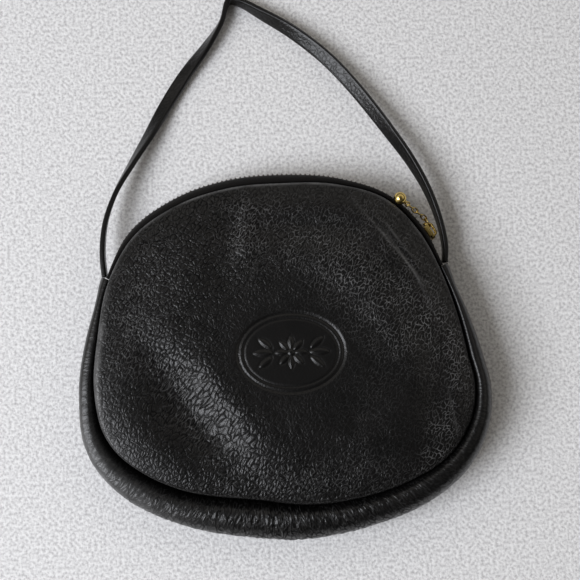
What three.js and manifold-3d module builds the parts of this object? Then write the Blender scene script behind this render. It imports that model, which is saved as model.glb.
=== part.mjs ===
// A small black leather bag with a zipped, arched top and a narrow strap, lying on its back.
//
// Millimetres, +Z up. The front panel faces +Z, the zip is towards +Y and the back panel
// lies flat on the surface Z = 0. The origin is on that face, below the middle of the front.

import * as THREE from "three";
import Module from "manifold-3d";

// Leather, tape and clearance
const LEATHER = 1.2; // thickness of the panels and the gusset
const TAPE = 1.0; // thickness of the woven zip tape
const GAP = 0.3; // clearance between neighbouring pieces

// Panels
const FRONT_RISE = 24.5; // height of the front seam at Y = 0
const FRONT_SLOPE = -0.041; // the bag is fuller at its bottom than at its zip
const CROWN = 5; // swell of the front panel above its seam
const CROWN_POWER = 5; // how late that swell falls off towards the seam
const LEVEL_SIDE = { bearing: 180, spread: 42, share: 0.72 }; // where the swell hardly falls off
const PANEL_TURNS = [30, 60, 90]; // degrees round a panel's edge where it turns into the seam
const SEAM_LAP = 2.5; // depth of the turned-in seam allowance below the groove
const FOLD_FADE = 7; // how close to the seam the folds of the front fade out
const MIDDLE = { x: 2, y: 1.7 }; // middle of both panels
const FRONT_SHARES = [0, 0.17, 0.33, 0.48, 0.62, 0.75, 0.86, 0.94, 1];
const BACK_SHARES = [0, 1];
const PANEL_STEPS = 56;

// Swelling edge between the panels
const BACK_CREST = 0.4; // height of the edge's lower crest
const BACK_SHARE = 0.5; // radius of the edge's lower turn into its groove, of the upper one's
const GROOVE_STRETCH = 1.4; // depth of the front groove for each millimetre of its turn's radius
const CREST_TURNS = [0, 45]; // degrees round the edge's turn beside the seam
const SWELL_POWER = 2.2; // roundness of the edge between its crests
const SQUARE_SIDE = { bearing: 200, spread: 28, power: 2.6, lean: 0.1 }; // where the edge is square
const GUSSET_STEPS = 44;
const GUSSET_ARC_STEPS = 8;

// Zip
const ZIP_RIGHT = 29; // bearing of the zip's right end, in degrees
const ZIP_LEFT = 154.6;
const ZIP_STEPS = 26;
const TAPE_ARC_STEPS = 3;
const TEETH_WIDTH = 5;
const TEETH_HEIGHT = 2.6; // at a tooth
const TEETH_VALLEY = 1.4; // between two teeth
const TOOTH_PITCH = 2;
const ZIP_PROBE = 0.5; // degrees to each side over which the zip's direction is read

// Gusset ends, which cover the ends of the strap
const END_FLARE = 2.6;
const END_FLARE_REACH = 9;

// Slider and pull
const SLIDER_BEARING = 40.2;
const SLIDER_LENGTH = 8;
const SLIDER_WIDTH = 7;
const SLIDER_CORNER = 1.6;
const CORNER_STEPS = 3;
const SLIDER_PLATE = 1.4;
const SLIDER_LIP = 0.7; // thickness of the lip along each side
const SLIDER_LIP_DROP = 0.7;
const BRIDGE_LENGTH = 6.4;
const BRIDGE_CLEAR = 1.2; // clear height under the bridge
const BRIDGE_BAR = 1.1;
const BRIDGE_WIDTH = 2;
const PULL_WIRE = 0.6;
const RING_LENGTH = 5.4;
const RING_WIDTH = 4.4;
const RING_HOLD = 1.5; // from the ring's near wire to the middle of the bridge's leg
const LINK_COUNT = 4;
const LINK_LENGTH = 4.4;
const LINK_WIDTH = 2.4;
const LINK_SLACK = 0.25;
const LINK_STEPS = 12;
const WIRE_SIDES = 6;
const BALL_RADIUS = 2.7;
const BALL_SIDES = 14;
const BALL_RINGS = 8;
const BALL_FROM_NECK = 3.2;
const NECK_RADIUS = 0.95;
const NECK_SIDES = 10;
const NECK_RINGS = 5;
const NECK_FROM_EYE = 1.6;
const EYE_RADIUS = 0.95; // of the eye's wire, from its middle
const BALL_BEARING = 55;
const BALL_OUT = 3.2; // from the seam
const BALL_HEIGHT = 24;

// Strap
const STRAP_WIDTH = 6.3;
const STRAP_THICKNESS = 2.1;
const STRAP_BEVEL = 0.5;
const STRAP_STEPS = 60;

// The edge of the bag, read round the front. bearing: degrees from +X; seam: distance of the
// seam from the origin; roll: how far the edge swells past the seam; drop: how far the crest of
// the swell lies below the panel; crest: radius of its turn into the groove along the seam;
// edge: radius of the panel's own edge where it turns into the seam.
const EDGE = [
  { bearing: 0, seam: 75.2, roll: 7.5, drop: 1.6, crest: 2.0, edge: 2.8 },
  { bearing: 14, seam: 73.4, roll: 5.4, drop: 1.8, crest: 1.8, edge: 2.2 },
  { bearing: 28, seam: 74.1, roll: 2.8, drop: 2.2, crest: 1.2, edge: 1.6 },
  { bearing: 42, seam: 76.8, roll: 3.6, drop: 2.6, crest: 1.2, edge: 1.4 },
  { bearing: 56, seam: 78.7, roll: 3.3, drop: 2.8, crest: 1.2, edge: 1.4 },
  { bearing: 72, seam: 75.9, roll: 4.1, drop: 3.0, crest: 1.2, edge: 1.4 },
  { bearing: 90, seam: 73.4, roll: 5.1, drop: 3.0, crest: 1.2, edge: 1.4 },
  { bearing: 108, seam: 75.4, roll: 5.0, drop: 3.0, crest: 1.2, edge: 1.4 },
  { bearing: 124, seam: 78.6, roll: 4.7, drop: 2.8, crest: 1.2, edge: 1.4 },
  { bearing: 140, seam: 81.4, roll: 4.2, drop: 2.6, crest: 1.2, edge: 1.4 },
  { bearing: 155, seam: 80.3, roll: 2.8, drop: 2.2, crest: 1.2, edge: 1.8 },
  { bearing: 172, seam: 78.3, roll: 6.2, drop: 2.4, crest: 1.8, edge: 2.4 },
  { bearing: 188, seam: 80.0, roll: 8.1, drop: 3.0, crest: 3.2, edge: 2.4 },
  { bearing: 200, seam: 81.0, roll: 10.4, drop: 3.8, crest: 5.4, edge: 2.0 },
  { bearing: 208, seam: 79.4, roll: 12.6, drop: 4.4, crest: 6.8, edge: 1.6 },
  { bearing: 217, seam: 75.3, roll: 14.6, drop: 5.0, crest: 7.2, edge: 1.6 },
  { bearing: 230, seam: 69.0, roll: 15.5, drop: 5.0, crest: 7.2, edge: 2.2 },
  { bearing: 245, seam: 62.3, roll: 16.7, drop: 4.8, crest: 6.8, edge: 2.8 },
  { bearing: 258, seam: 59.3, roll: 16.7, drop: 4.5, crest: 6.4, edge: 3.0 },
  { bearing: 270, seam: 59.9, roll: 16.0, drop: 4.2, crest: 5.6, edge: 3.0 },
  { bearing: 284, seam: 62.1, roll: 14.3, drop: 3.8, crest: 5.0, edge: 3.0 },
  { bearing: 298, seam: 65.5, roll: 13.6, drop: 3.2, crest: 4.8, edge: 3.0 },
  { bearing: 314, seam: 71.9, roll: 13.0, drop: 2.4, crest: 4.2, edge: 3.0 },
  { bearing: 328, seam: 78.3, roll: 10.8, drop: 1.8, crest: 3.2, edge: 3.0 },
  { bearing: 340, seam: 80.3, roll: 9.2, drop: 1.5, crest: 2.8, edge: 3.0 },
  { bearing: 350, seam: 79.0, roll: 8.1, drop: 1.5, crest: 2.4, edge: 3.0 },
];

// Soft folds of the front panel. x, y: middle; heading: direction in degrees; long, wide: reach
// along and across; lift: height, below zero for a dent.
const FOLDS = [
  { x: -38, y: -23, heading: -54, long: 31, wide: 10.5, lift: -4.5 },
  { x: -22, y: 50, heading: 84, long: 18, wide: 9, lift: -1.6 },
  { x: 44, y: 46, heading: -52, long: 26, wide: 5, lift: 0.9 },
  { x: 60, y: -18, heading: 82, long: 24, wide: 7, lift: -1.6 },
  { x: 22, y: -44, heading: 8, long: 30, wide: 7, lift: -1.2 },
  { x: -58, y: 32, heading: 62, long: 20, wide: 12, lift: -0.8 },
  { x: 6, y: 54, heading: -4, long: 27, wide: 6.5, lift: -2.4 },
  { x: 22, y: 38, heading: -30, long: 20, wide: 9, lift: 1.2 },
  { x: 46, y: 8, heading: -62, long: 26, wide: 7, lift: 1 },
];

// The strap from its left end over its tip to its right end. x, y, z: its middle; lean: angle
// of its outer face, 0 facing up and 90 facing away from the loop.
const STRAP = [
  { x: -76.6, y: 36.8, z: 10.8, lean: 90 },
  { x: -77.4, y: 47, z: 10.7, lean: 88 },
  { x: -76.2, y: 60, z: 10, lean: 84 },
  { x: -72, y: 73, z: 8.6, lean: 78 },
  { x: -64.8, y: 86.5, z: 6.4, lean: 66 },
  { x: -57, y: 100, z: 4.3, lean: 45 },
  { x: -49.5, y: 113.5, z: 2.4, lean: 18 },
  { x: -41, y: 126.5, z: 2.6, lean: 22 },
  { x: -31, y: 139.5, z: 3.4, lean: 55 },
  { x: -24.6, y: 149.5, z: 3.5, lean: 78 },
  { x: -21, y: 159, z: 3.5, lean: 90 },
  { x: -16.5, y: 158.4, z: 3.5, lean: 92 },
  { x: -6.5, y: 152.5, z: 3.9, lean: 106 },
  { x: 6.5, y: 144, z: 4.6, lean: 124 },
  { x: 21, y: 131.5, z: 5.6, lean: 142 },
  { x: 33, y: 117.5, z: 6.8, lean: 152 },
  { x: 47.5, y: 97, z: 8.5, lean: 140 },
  { x: 56.5, y: 83, z: 9.5, lean: 120 },
  { x: 63, y: 70, z: 10.2, lean: 104 },
  { x: 67.4, y: 56.7, z: 10.6, lean: 96 },
  { x: 69.2, y: 46, z: 10.8, lean: 92 },
  { x: 68.9, y: 38.8, z: 10.8, lean: 90 },
];

const FULL_TURN = 360;
const radians = THREE.MathUtils.degToRad;
const lerp = THREE.MathUtils.lerp;

// A smooth closed curve through one column of EDGE, as a function of the bearing.
function around(column) {
  const count = EDGE.length;
  const value = (i) => EDGE[(i + count) % count][column];
  const bearingOf = (i) => EDGE[(i + count) % count].bearing + FULL_TURN * Math.floor(i / count);
  const slope = (i) => (value(i + 1) - value(i - 1)) / (bearingOf(i + 1) - bearingOf(i - 1));
  return (bearing) => {
    const turned = THREE.MathUtils.euclideanModulo(bearing, FULL_TURN);
    const i = EDGE.findLastIndex((row) => row.bearing <= turned);
    const span = bearingOf(i + 1) - bearingOf(i);
    const t = (turned - bearingOf(i)) / span;
    const start = (1 + 2 * t) * (1 - t) ** 2 * value(i) + t * (1 - t) ** 2 * span * slope(i);
    const end = t * t * (3 - 2 * t) * value(i + 1) - t * t * (1 - t) * span * slope(i + 1);
    return start + end;
  };
}

const seamAt = around("seam");
const rollAt = around("roll");
const dropAt = around("drop");
const crestAt = around("crest");
const edgeAt = around("edge");

// A point at a distance from the origin along a bearing.
function polar(bearing, distance, z) {
  const angle = radians(bearing);
  return new THREE.Vector3(distance * Math.cos(angle), distance * Math.sin(angle), z);
}

// 1 in the middle of one side of the bag, falling to 0 away from it.
function towards(side, bearing) {
  const turned = THREE.MathUtils.euclideanModulo(bearing, FULL_TURN);
  return Math.exp(-(((turned - side.bearing) / side.spread) ** 2));
}

// How far the panel's edge stays up where it runs level to its seam.
const levelRise = (bearing) => CROWN * LEVEL_SIDE.share * towards(LEVEL_SIDE, bearing);

// Radius of the edge's lower turn into its groove.
const backCrest = (bearing) => Math.max(BACK_SHARE * crestAt(bearing), LEATHER);

// Height of the front seam beside a point.
const frontHeight = (y) => FRONT_RISE + FRONT_SLOPE * y;

// Height that the soft folds add at a point of the front.
function foldLift(x, y) {
  let lift = 0;
  for (const fold of FOLDS) {
    const angle = radians(fold.heading);
    const along = (x - fold.x) * Math.cos(angle) + (y - fold.y) * Math.sin(angle);
    const across = (y - fold.y) * Math.cos(angle) - (x - fold.x) * Math.sin(angle);
    lift += fold.lift * Math.exp(-((along / fold.long) ** 2) - (across / fold.wide) ** 2);
  }
  return lift;
}

// A closed solid through equal loops of points. Neighbouring loops are joined, the last one to
// the first if the sweep closes, otherwise each end is capped between points i and last - i.
function sweep(loops, closes) {
  const points = [];
  const indexOf = new Map();
  const faces = [];
  const vertex = (p) => {
    const key = p.toArray().map((c) => c.toFixed(4)).join();
    if (!indexOf.has(key)) {
      indexOf.set(key, points.length);
      points.push(p);
    }
    return indexOf.get(key);
  };
  const triangle = (...corners) => {
    const face = corners.map(vertex);
    if (new Set(face).size === 3) faces.push(face);
  };
  const size = loops[0].length;
  for (let k = 0; k < (closes ? loops.length : loops.length - 1); k++) {
    const here = loops[k];
    const next = loops[(k + 1) % loops.length];
    for (let i = 0; i < size; i++) {
      const j = (i + 1) % size;
      triangle(here[i], next[i], next[j]);
      triangle(here[i], next[j], here[j]);
    }
  }
  if (!closes) {
    const cap = (loop, flip) => {
      for (let i = 0; i < size / 2 - 1; i++) {
        const corners = [loop[i], loop[i + 1], loop[size - 2 - i], loop[size - 1 - i]];
        if (flip) corners.reverse();
        triangle(corners[0], corners[1], corners[2]);
        triangle(corners[0], corners[2], corners[3]);
      }
    };
    cap(loops[0], false);
    cap(loops.at(-1), true);
  }
  const volume = faces.reduce((sum, [a, b, c]) => {
    return sum + points[a].dot(points[b].clone().cross(points[c]));
  }, 0);
  const index = faces.flatMap(([a, b, c]) => (volume < 0 ? [a, c, b] : [a, b, c]));
  return new THREE.BufferGeometry().setFromPoints(points).setIndex(index);
}

// Evenly spaced values from a start to an end, both included.
function steps(start, end, count) {
  return Array.from({ length: count + 1 }, (_, i) => lerp(start, end, i / count));
}

// One cut through a panel from its middle to the end of its seam allowance. height gives the
// outer face, side is 1 for a panel that faces up and -1 for one that faces down.
function panelCut(bearing, inset, shares, height, side) {
  const seam = seamAt(bearing);
  const round = edgeAt(bearing);
  const rim = polar(bearing, seam - round, 0);
  const cut = shares.map((share) => {
    const x = lerp(MIDDLE.x, rim.x, share);
    const y = lerp(MIDDLE.y, rim.y, share);
    return new THREE.Vector3(x, y, height(x, y, share) - side * inset);
  });
  const edge = height(rim.x, rim.y, 1);
  for (const turn of PANEL_TURNS) {
    const out = seam - round + (round - inset) * Math.sin(radians(turn));
    const up = (round - inset) * Math.cos(radians(turn)) - round;
    cut.push(polar(bearing, out, edge + side * up));
  }
  const front = GROOVE_STRETCH * crestAt(bearing) + dropAt(bearing) + levelRise(bearing);
  const groove = side > 0 ? front : backCrest(bearing) + BACK_CREST;
  cut.push(polar(bearing, seam - inset, edge - side * (groove + SEAM_LAP)));
  return cut;
}

function panel(shares, height, side) {
  const loops = steps(0, FULL_TURN, PANEL_STEPS).slice(0, PANEL_STEPS).map((bearing) => {
    const outer = panelCut(bearing, 0, shares, height, side);
    const inner = panelCut(bearing, LEATHER, shares, height, side);
    return [...outer, ...inner.reverse()];
  });
  return sweep(loops, true);
}

function frontFace(x, y, share) {
  const bearing = THREE.MathUtils.radToDeg(Math.atan2(y - MIDDLE.y, x - MIDDLE.x));
  const swell = CROWN - (CROWN - levelRise(bearing)) * share ** CROWN_POWER;
  return frontHeight(y) + swell + foldLift(x, y) * (1 - share ** FOLD_FADE);
}

const backFace = () => 0;

// Sizes of the swelling edge at a bearing.
function swellAt(bearing, roll) {
  const seam = seamAt(bearing);
  const front = frontHeight(polar(bearing, seam, 0).y);
  const top = front - dropAt(bearing);
  const mid = (top + BACK_CREST) / 2;
  const square = towards(SQUARE_SIDE, bearing);
  const power = SWELL_POWER + SQUARE_SIDE.power * square;
  const lean = SQUARE_SIDE.lean * square;
  return { seam, top, mid, roll, power, lean, crest: crestAt(bearing), half: top - mid };
}

// A point of the swelling edge, turn 90 at its front crest, 0 at mid height, -90 at its back.
function swellPoint(bearing, swell, inset, turn) {
  const sine = Math.sin(radians(turn));
  const reach = swell.roll - GAP - swell.crest - inset;
  const beyond = Math.abs(Math.cos(radians(turn))) ** (2 / swell.power);
  const rise = Math.sign(sine) * Math.abs(sine) ** (2 / swell.power);
  const up = (swell.half - inset) * rise * (rise > 0 ? 1 - swell.lean * beyond : 1);
  return polar(bearing, swell.seam + GAP + swell.crest + reach * beyond, swell.mid + up);
}

// The turned-in start of the edge beside a seam, from its inner end to the crest.
function seamTurn(bearing, swell, inset, side) {
  const near = swell.seam + GAP + inset;
  const wide = side > 0 ? swell.crest : backCrest(bearing);
  const tall = side > 0 ? swell.crest * GROOVE_STRETCH : wide;
  const centre = side > 0 ? swell.top - tall : BACK_CREST + tall;
  const points = [polar(bearing, near, centre - side * SEAM_LAP)];
  for (const turn of CREST_TURNS) {
    const out = wide - (wide - inset) * Math.cos(radians(turn));
    const up = (tall - inset) * Math.sin(radians(turn));
    points.push(polar(bearing, swell.seam + GAP + out, centre + side * up));
  }
  return points;
}

// Leather past the ends of the zip bulges over the strap.
function gussetRoll(bearing) {
  const toEnd = Math.min(bearing - ZIP_LEFT, FULL_TURN + ZIP_RIGHT - bearing);
  const away = radians(toEnd) * seamAt(bearing);
  return rollAt(bearing) + END_FLARE * Math.exp(-((away / END_FLARE_REACH) ** 2));
}

function gussetCut(bearing, inset) {
  const swell = swellAt(bearing, gussetRoll(bearing));
  const arc = steps(90, -90, GUSSET_ARC_STEPS).map((turn) => {
    return swellPoint(bearing, swell, inset, turn);
  });
  const back = seamTurn(bearing, swell, inset, -1).reverse();
  return [...seamTurn(bearing, swell, inset, 1), ...arc, ...back];
}

function gusset() {
  const gapTurn = THREE.MathUtils.radToDeg(GAP / seamAt(ZIP_LEFT));
  const bearings = steps(ZIP_LEFT + gapTurn, FULL_TURN + ZIP_RIGHT - gapTurn, GUSSET_STEPS);
  const loops = bearings.map((bearing) => {
    return [...gussetCut(bearing, 0), ...gussetCut(bearing, LEATHER).reverse()];
  });
  return sweep(loops, false);
}

// One tape of the zip, side 1 at the front and -1 at the back.
function tapeCut(bearing, inset, side) {
  const swell = swellAt(bearing, rollAt(bearing));
  const edge = (TEETH_WIDTH / 2 + GAP) / (swell.half - inset);
  const last = THREE.MathUtils.radToDeg(Math.asin(edge ** (swell.power / 2)));
  const arc = steps(90, last, TAPE_ARC_STEPS).map((turn) => {
    return swellPoint(bearing, swell, inset, side * turn);
  });
  return [...seamTurn(bearing, swell, inset, side), ...arc];
}

function tape(side) {
  const loops = steps(ZIP_RIGHT, ZIP_LEFT, ZIP_STEPS).map((bearing) => {
    return [...tapeCut(bearing, 0, side), ...tapeCut(bearing, TAPE, side).reverse()];
  });
  return sweep(loops, false);
}

// A place on the outermost line of the zip, with the directions along, across and out of it.
function zipFrame(bearing) {
  const line = (b) => polar(b, seamAt(b) + rollAt(b), swellAt(b, rollAt(b)).mid);
  const origin = line(bearing);
  const along = line(bearing + ZIP_PROBE).sub(line(bearing - ZIP_PROBE)).setZ(0).normalize();
  const across = new THREE.Vector3(0, 0, 1);
  const out = new THREE.Vector3().crossVectors(along, across);
  return { origin, along, across, out };
}

function teeth() {
  const length = radians(ZIP_LEFT - ZIP_RIGHT) * (seamAt(90) + rollAt(90));
  const count = Math.round(length / TOOTH_PITCH);
  const loops = steps(ZIP_RIGHT, ZIP_LEFT, 2 * count).map((bearing, i) => {
    const { origin, across, out } = zipFrame(bearing);
    const high = (i % 2 ? TEETH_HEIGHT : TEETH_VALLEY) / 2;
    const corners = [[-1, -1], [-1, 1], [1, 1], [1, -1]];
    return corners.map(([a, b]) => {
      const point = origin.clone().addScaledVector(across, (a * TEETH_WIDTH) / 2);
      return point.addScaledVector(out, b * high - TAPE / 2);
    });
  });
  return sweep(loops, false);
}

// A wire bent into a closed oval in the XY plane.
function oval(length, width, wire) {
  const loops = steps(0, FULL_TURN, LINK_STEPS).slice(0, LINK_STEPS).map((turn) => {
    const angle = radians(turn);
    const reachX = (length - wire) / 2;
    const reachY = (width - wire) / 2;
    const middle = new THREE.Vector3(reachX * Math.cos(angle), reachY * Math.sin(angle), 0);
    const out = new THREE.Vector3(reachY * Math.cos(angle), reachX * Math.sin(angle), 0).normalize();
    return steps(0, FULL_TURN, WIRE_SIDES).slice(0, WIRE_SIDES).map((roll) => {
      const around = radians(roll);
      const point = middle.clone().addScaledVector(out, (wire / 2) * Math.cos(around));
      return point.setZ((wire / 2) * Math.sin(around));
    });
  });
  return sweep(loops, true);
}

const wasm = await Module();
wasm.setup();

// Joins closed geometries into one solid.
function joined(...geometries) {
  const solids = geometries.map((geometry) => {
    const flat = geometry.index ? geometry.toNonIndexed() : geometry;
    const corners = flat.getAttribute("position");
    const mesh = new wasm.Mesh({
      numProp: 3,
      vertProperties: new Float32Array(corners.array),
      triVerts: Uint32Array.from({ length: corners.count }, (_, i) => i),
    });
    mesh.merge();
    return new wasm.Manifold(mesh);
  });
  const mesh = wasm.Manifold.union(solids).getMesh();
  return new THREE.BufferGeometry()
    .setAttribute("position", new THREE.BufferAttribute(mesh.vertProperties, mesh.numProp))
    .setIndex(new THREE.BufferAttribute(mesh.triVerts, 1));
}

function roundedRectangle(length, width, corner) {
  const x = length / 2;
  const y = width / 2;
  const shape = new THREE.Shape();
  shape.moveTo(corner - x, -y);
  shape.lineTo(x - corner, -y);
  shape.absarc(x - corner, corner - y, corner, -Math.PI / 2, 0);
  shape.absarc(x - corner, y - corner, corner, 0, Math.PI / 2);
  shape.absarc(corner - x, y - corner, corner, Math.PI / 2, Math.PI);
  shape.absarc(corner - x, corner - y, corner, Math.PI, 1.5 * Math.PI);
  return shape;
}

// Plate, two lips and a bridge. X is along the zip, Y across it and Z out of it.
function slider() {
  const outline = roundedRectangle(SLIDER_LENGTH, SLIDER_WIDTH, SLIDER_CORNER);
  const plate = new THREE.ExtrudeGeometry(outline, {
    depth: SLIDER_PLATE,
    bevelEnabled: false,
    curveSegments: CORNER_STEPS,
  });
  const lipLength = SLIDER_LENGTH - 2 * SLIDER_CORNER;
  const lips = [-1, 1].map((side) => {
    const height = SLIDER_LIP_DROP + SLIDER_PLATE / 2;
    const lip = new THREE.BoxGeometry(lipLength, SLIDER_LIP, height);
    const across = (side * (SLIDER_WIDTH - SLIDER_LIP)) / 2;
    return lip.translate(0, across, (SLIDER_PLATE / 2 - SLIDER_LIP_DROP) / 2);
  });
  const tall = SLIDER_PLATE / 2 + BRIDGE_CLEAR + BRIDGE_BAR;
  const arch = roundedRectangle(BRIDGE_LENGTH, tall, BRIDGE_BAR);
  const window = BRIDGE_LENGTH - 2 * BRIDGE_BAR;
  const base = SLIDER_PLATE / 2 - tall / 2;
  const opening = new THREE.Path();
  opening.moveTo(-window / 2, base);
  opening.lineTo(-window / 2, base + BRIDGE_CLEAR);
  opening.lineTo(window / 2, base + BRIDGE_CLEAR);
  opening.lineTo(window / 2, base);
  arch.holes.push(opening);
  const bridge = new THREE.ExtrudeGeometry(arch, {
    depth: BRIDGE_WIDTH,
    bevelEnabled: false,
    curveSegments: CORNER_STEPS,
  });
  bridge.translate(0, 0, -BRIDGE_WIDTH / 2);
  bridge.rotateX(Math.PI / 2);
  bridge.translate(0, 0, SLIDER_PLATE / 2 + tall / 2);
  return joined(plate, ...lips, bridge);
}

// Ball, neck and eye. The eye's middle is at the origin and the ball lies towards +X.
function ball() {
  const eyeSize = 2 * EYE_RADIUS + PULL_WIRE;
  const eye = oval(eyeSize, eyeSize, PULL_WIRE);
  const neck = new THREE.SphereGeometry(NECK_RADIUS, NECK_SIDES, NECK_RINGS);
  neck.translate(NECK_FROM_EYE, 0, 0);
  const bead = new THREE.SphereGeometry(BALL_RADIUS, BALL_SIDES, BALL_RINGS);
  bead.translate(NECK_FROM_EYE + BALL_FROM_NECK, 0, 0);
  return joined(eye, neck, bead);
}

// The strap's section swept along its path.
function strap() {
  const rows = STRAP.map((row) => new THREE.Vector3(row.x, row.y, row.z));
  const path = new THREE.CatmullRomCurve3(rows, false, "centripetal");
  const up = new THREE.Vector3(0, 0, 1);
  const loops = steps(0, 1, STRAP_STEPS).map((t) => {
    const middle = path.getPoint(t);
    const along = path.getTangent(t);
    const row = Math.min(Math.floor(t * (STRAP.length - 1)), STRAP.length - 2);
    const lean = radians(lerp(STRAP[row].lean, STRAP[row + 1].lean, t * (STRAP.length - 1) - row));
    const out = new THREE.Vector3().crossVectors(up, along).normalize();
    const above = new THREE.Vector3().crossVectors(along, out);
    const face = above.multiplyScalar(Math.cos(lean)).addScaledVector(out, Math.sin(lean));
    const side = new THREE.Vector3().crossVectors(along, face);
    const w = STRAP_WIDTH / 2;
    const h = STRAP_THICKNESS / 2;
    const corners = [
      [-w, -h + STRAP_BEVEL], [-w, h - STRAP_BEVEL], [-w + STRAP_BEVEL, h], [w - STRAP_BEVEL, h],
      [w, h - STRAP_BEVEL], [w, -h + STRAP_BEVEL], [w - STRAP_BEVEL, -h], [-w + STRAP_BEVEL, -h],
    ];
    return corners.map(([a, b]) => middle.clone().addScaledVector(side, a).addScaledVector(face, b));
  });
  return sweep(loops, false);
}

const leather = { color: "#1d1c1d", roughness: 0.5, metalness: 0 };
const fabric = { color: "#231f1c", roughness: 0.9, metalness: 0 };
const brass = { color: "#c9a24e", roughness: 0.3, metalness: 1 };

const bag = new THREE.Group();
bag.name = "leather_bag";

function add(name, geometry, finish, parent = bag) {
  const mesh = new THREE.Mesh(geometry, new THREE.MeshStandardMaterial(finish));
  mesh.name = name;
  parent.add(mesh);
  return mesh;
}

add("front_panel", panel(FRONT_SHARES, frontFace, 1), leather);
add("back_panel", panel(BACK_SHARES, backFace, -1), leather);
add("gusset", gusset(), leather);
add("zip_tape_front", tape(1), fabric);
add("zip_tape_back", tape(-1), fabric);
add("zip_teeth", teeth(), fabric);
add("strap", strap(), leather);

// The slider sits on the teeth, its bridge facing out.
const seat = zipFrame(SLIDER_BEARING);
const onZip = new THREE.Group();
onZip.setRotationFromMatrix(new THREE.Matrix4().makeBasis(seat.along, seat.across, seat.out));
onZip.position.copy(seat.origin).addScaledVector(seat.out, TEETH_HEIGHT / 2 - TAPE / 2 + GAP);
bag.add(onZip);
add("zip_slider", slider(), brass, onZip);

// The ring lies flat round one leg of the bridge.
onZip.updateMatrixWorld(true);
const leg = onZip.localToWorld(
  new THREE.Vector3((BRIDGE_LENGTH - BRIDGE_BAR) / 2, 0, SLIDER_PLATE + BRIDGE_CLEAR / 2),
);
const ballMiddle = polar(BALL_BEARING, seamAt(BALL_BEARING) + BALL_OUT, BALL_HEIGHT);
const ringWay = ballMiddle.clone().sub(leg).projectOnPlane(seat.out).normalize();

// A frame in the bag with X along a direction and Z turned towards a facing.
function pullFrame(direction, facing, middle) {
  const side = new THREE.Vector3().crossVectors(facing, direction).normalize();
  const face = new THREE.Vector3().crossVectors(direction, side);
  const frame = new THREE.Group();
  frame.setRotationFromMatrix(new THREE.Matrix4().makeBasis(direction, side, face));
  frame.position.copy(middle);
  bag.add(frame);
  return { frame, side };
}

const ringMiddle = leg.clone().addScaledVector(ringWay, (RING_LENGTH - PULL_WIRE) / 2 - RING_HOLD);
const ring = pullFrame(ringWay, seat.out, ringMiddle);
add("pull_ring", oval(RING_LENGTH, RING_WIDTH, PULL_WIRE), brass, ring.frame);

// Each link hangs in the one before it, turned a quarter round, and the last holds the ball.
const ringEnd = ringMiddle.clone().addScaledVector(ringWay, RING_LENGTH / 2 - PULL_WIRE);
const pull = ballMiddle.clone().sub(ringEnd).normalize();
const overlap = PULL_WIRE + LINK_SLACK;
let reach = LINK_LENGTH / 2 - overlap;
let facing = ring.side;
for (let number = 1; number <= LINK_COUNT; number++) {
  const link = pullFrame(pull, facing, ringEnd.clone().addScaledVector(pull, reach));
  add(`pull_link_${number}`, oval(LINK_LENGTH, LINK_WIDTH, PULL_WIRE), brass, link.frame);
  reach += LINK_LENGTH - PULL_WIRE - overlap;
  facing = link.side;
}
reach -= LINK_LENGTH / 2 - EYE_RADIUS - PULL_WIRE / 2;
const end = pullFrame(pull, facing, ringEnd.clone().addScaledVector(pull, reach));
add("pull_ball", ball(), brass, end.frame);

export default bag;
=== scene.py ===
# %% [markdown]
# # A small black leather bag on its back
#
# This lesson dresses a leather bag with an arched zip, a narrow strap and a brass chain pull. The
# solid model gives every piece its place and size. Here each soft piece is made again as a fine
# skin, with the folds, gathers and grain that a solid model leaves out. Lengths are millimetres
# until a mesh is made, and bearings are degrees round the front, from the right towards the zip.

# %% Load the solid model
import math

import bpy
import numpy as np
from mathutils import Matrix, Vector, noise


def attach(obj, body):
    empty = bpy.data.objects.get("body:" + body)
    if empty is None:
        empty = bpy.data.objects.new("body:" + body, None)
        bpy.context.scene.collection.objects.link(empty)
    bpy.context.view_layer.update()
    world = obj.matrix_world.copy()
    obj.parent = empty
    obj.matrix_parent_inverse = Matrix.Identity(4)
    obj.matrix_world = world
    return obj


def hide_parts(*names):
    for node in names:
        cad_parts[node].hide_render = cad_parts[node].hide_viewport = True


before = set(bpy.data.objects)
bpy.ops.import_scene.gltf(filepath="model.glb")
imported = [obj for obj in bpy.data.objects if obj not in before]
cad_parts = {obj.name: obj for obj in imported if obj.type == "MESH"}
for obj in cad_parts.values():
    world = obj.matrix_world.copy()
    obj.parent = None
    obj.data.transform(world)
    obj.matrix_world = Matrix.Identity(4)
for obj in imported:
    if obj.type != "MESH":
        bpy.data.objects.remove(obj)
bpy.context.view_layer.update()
MM = 0.001
print("solid pieces:", len(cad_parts))

# %% [markdown]
# ## The edge of the bag
#
# The bag lies relaxed, so its outline is not a neat oval: the bottom left corner hangs low and the
# edge swells most there. One table read round the front holds that shape, and every soft piece
# takes its outline from it. A smooth curve through each column gives the value at any bearing.

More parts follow.
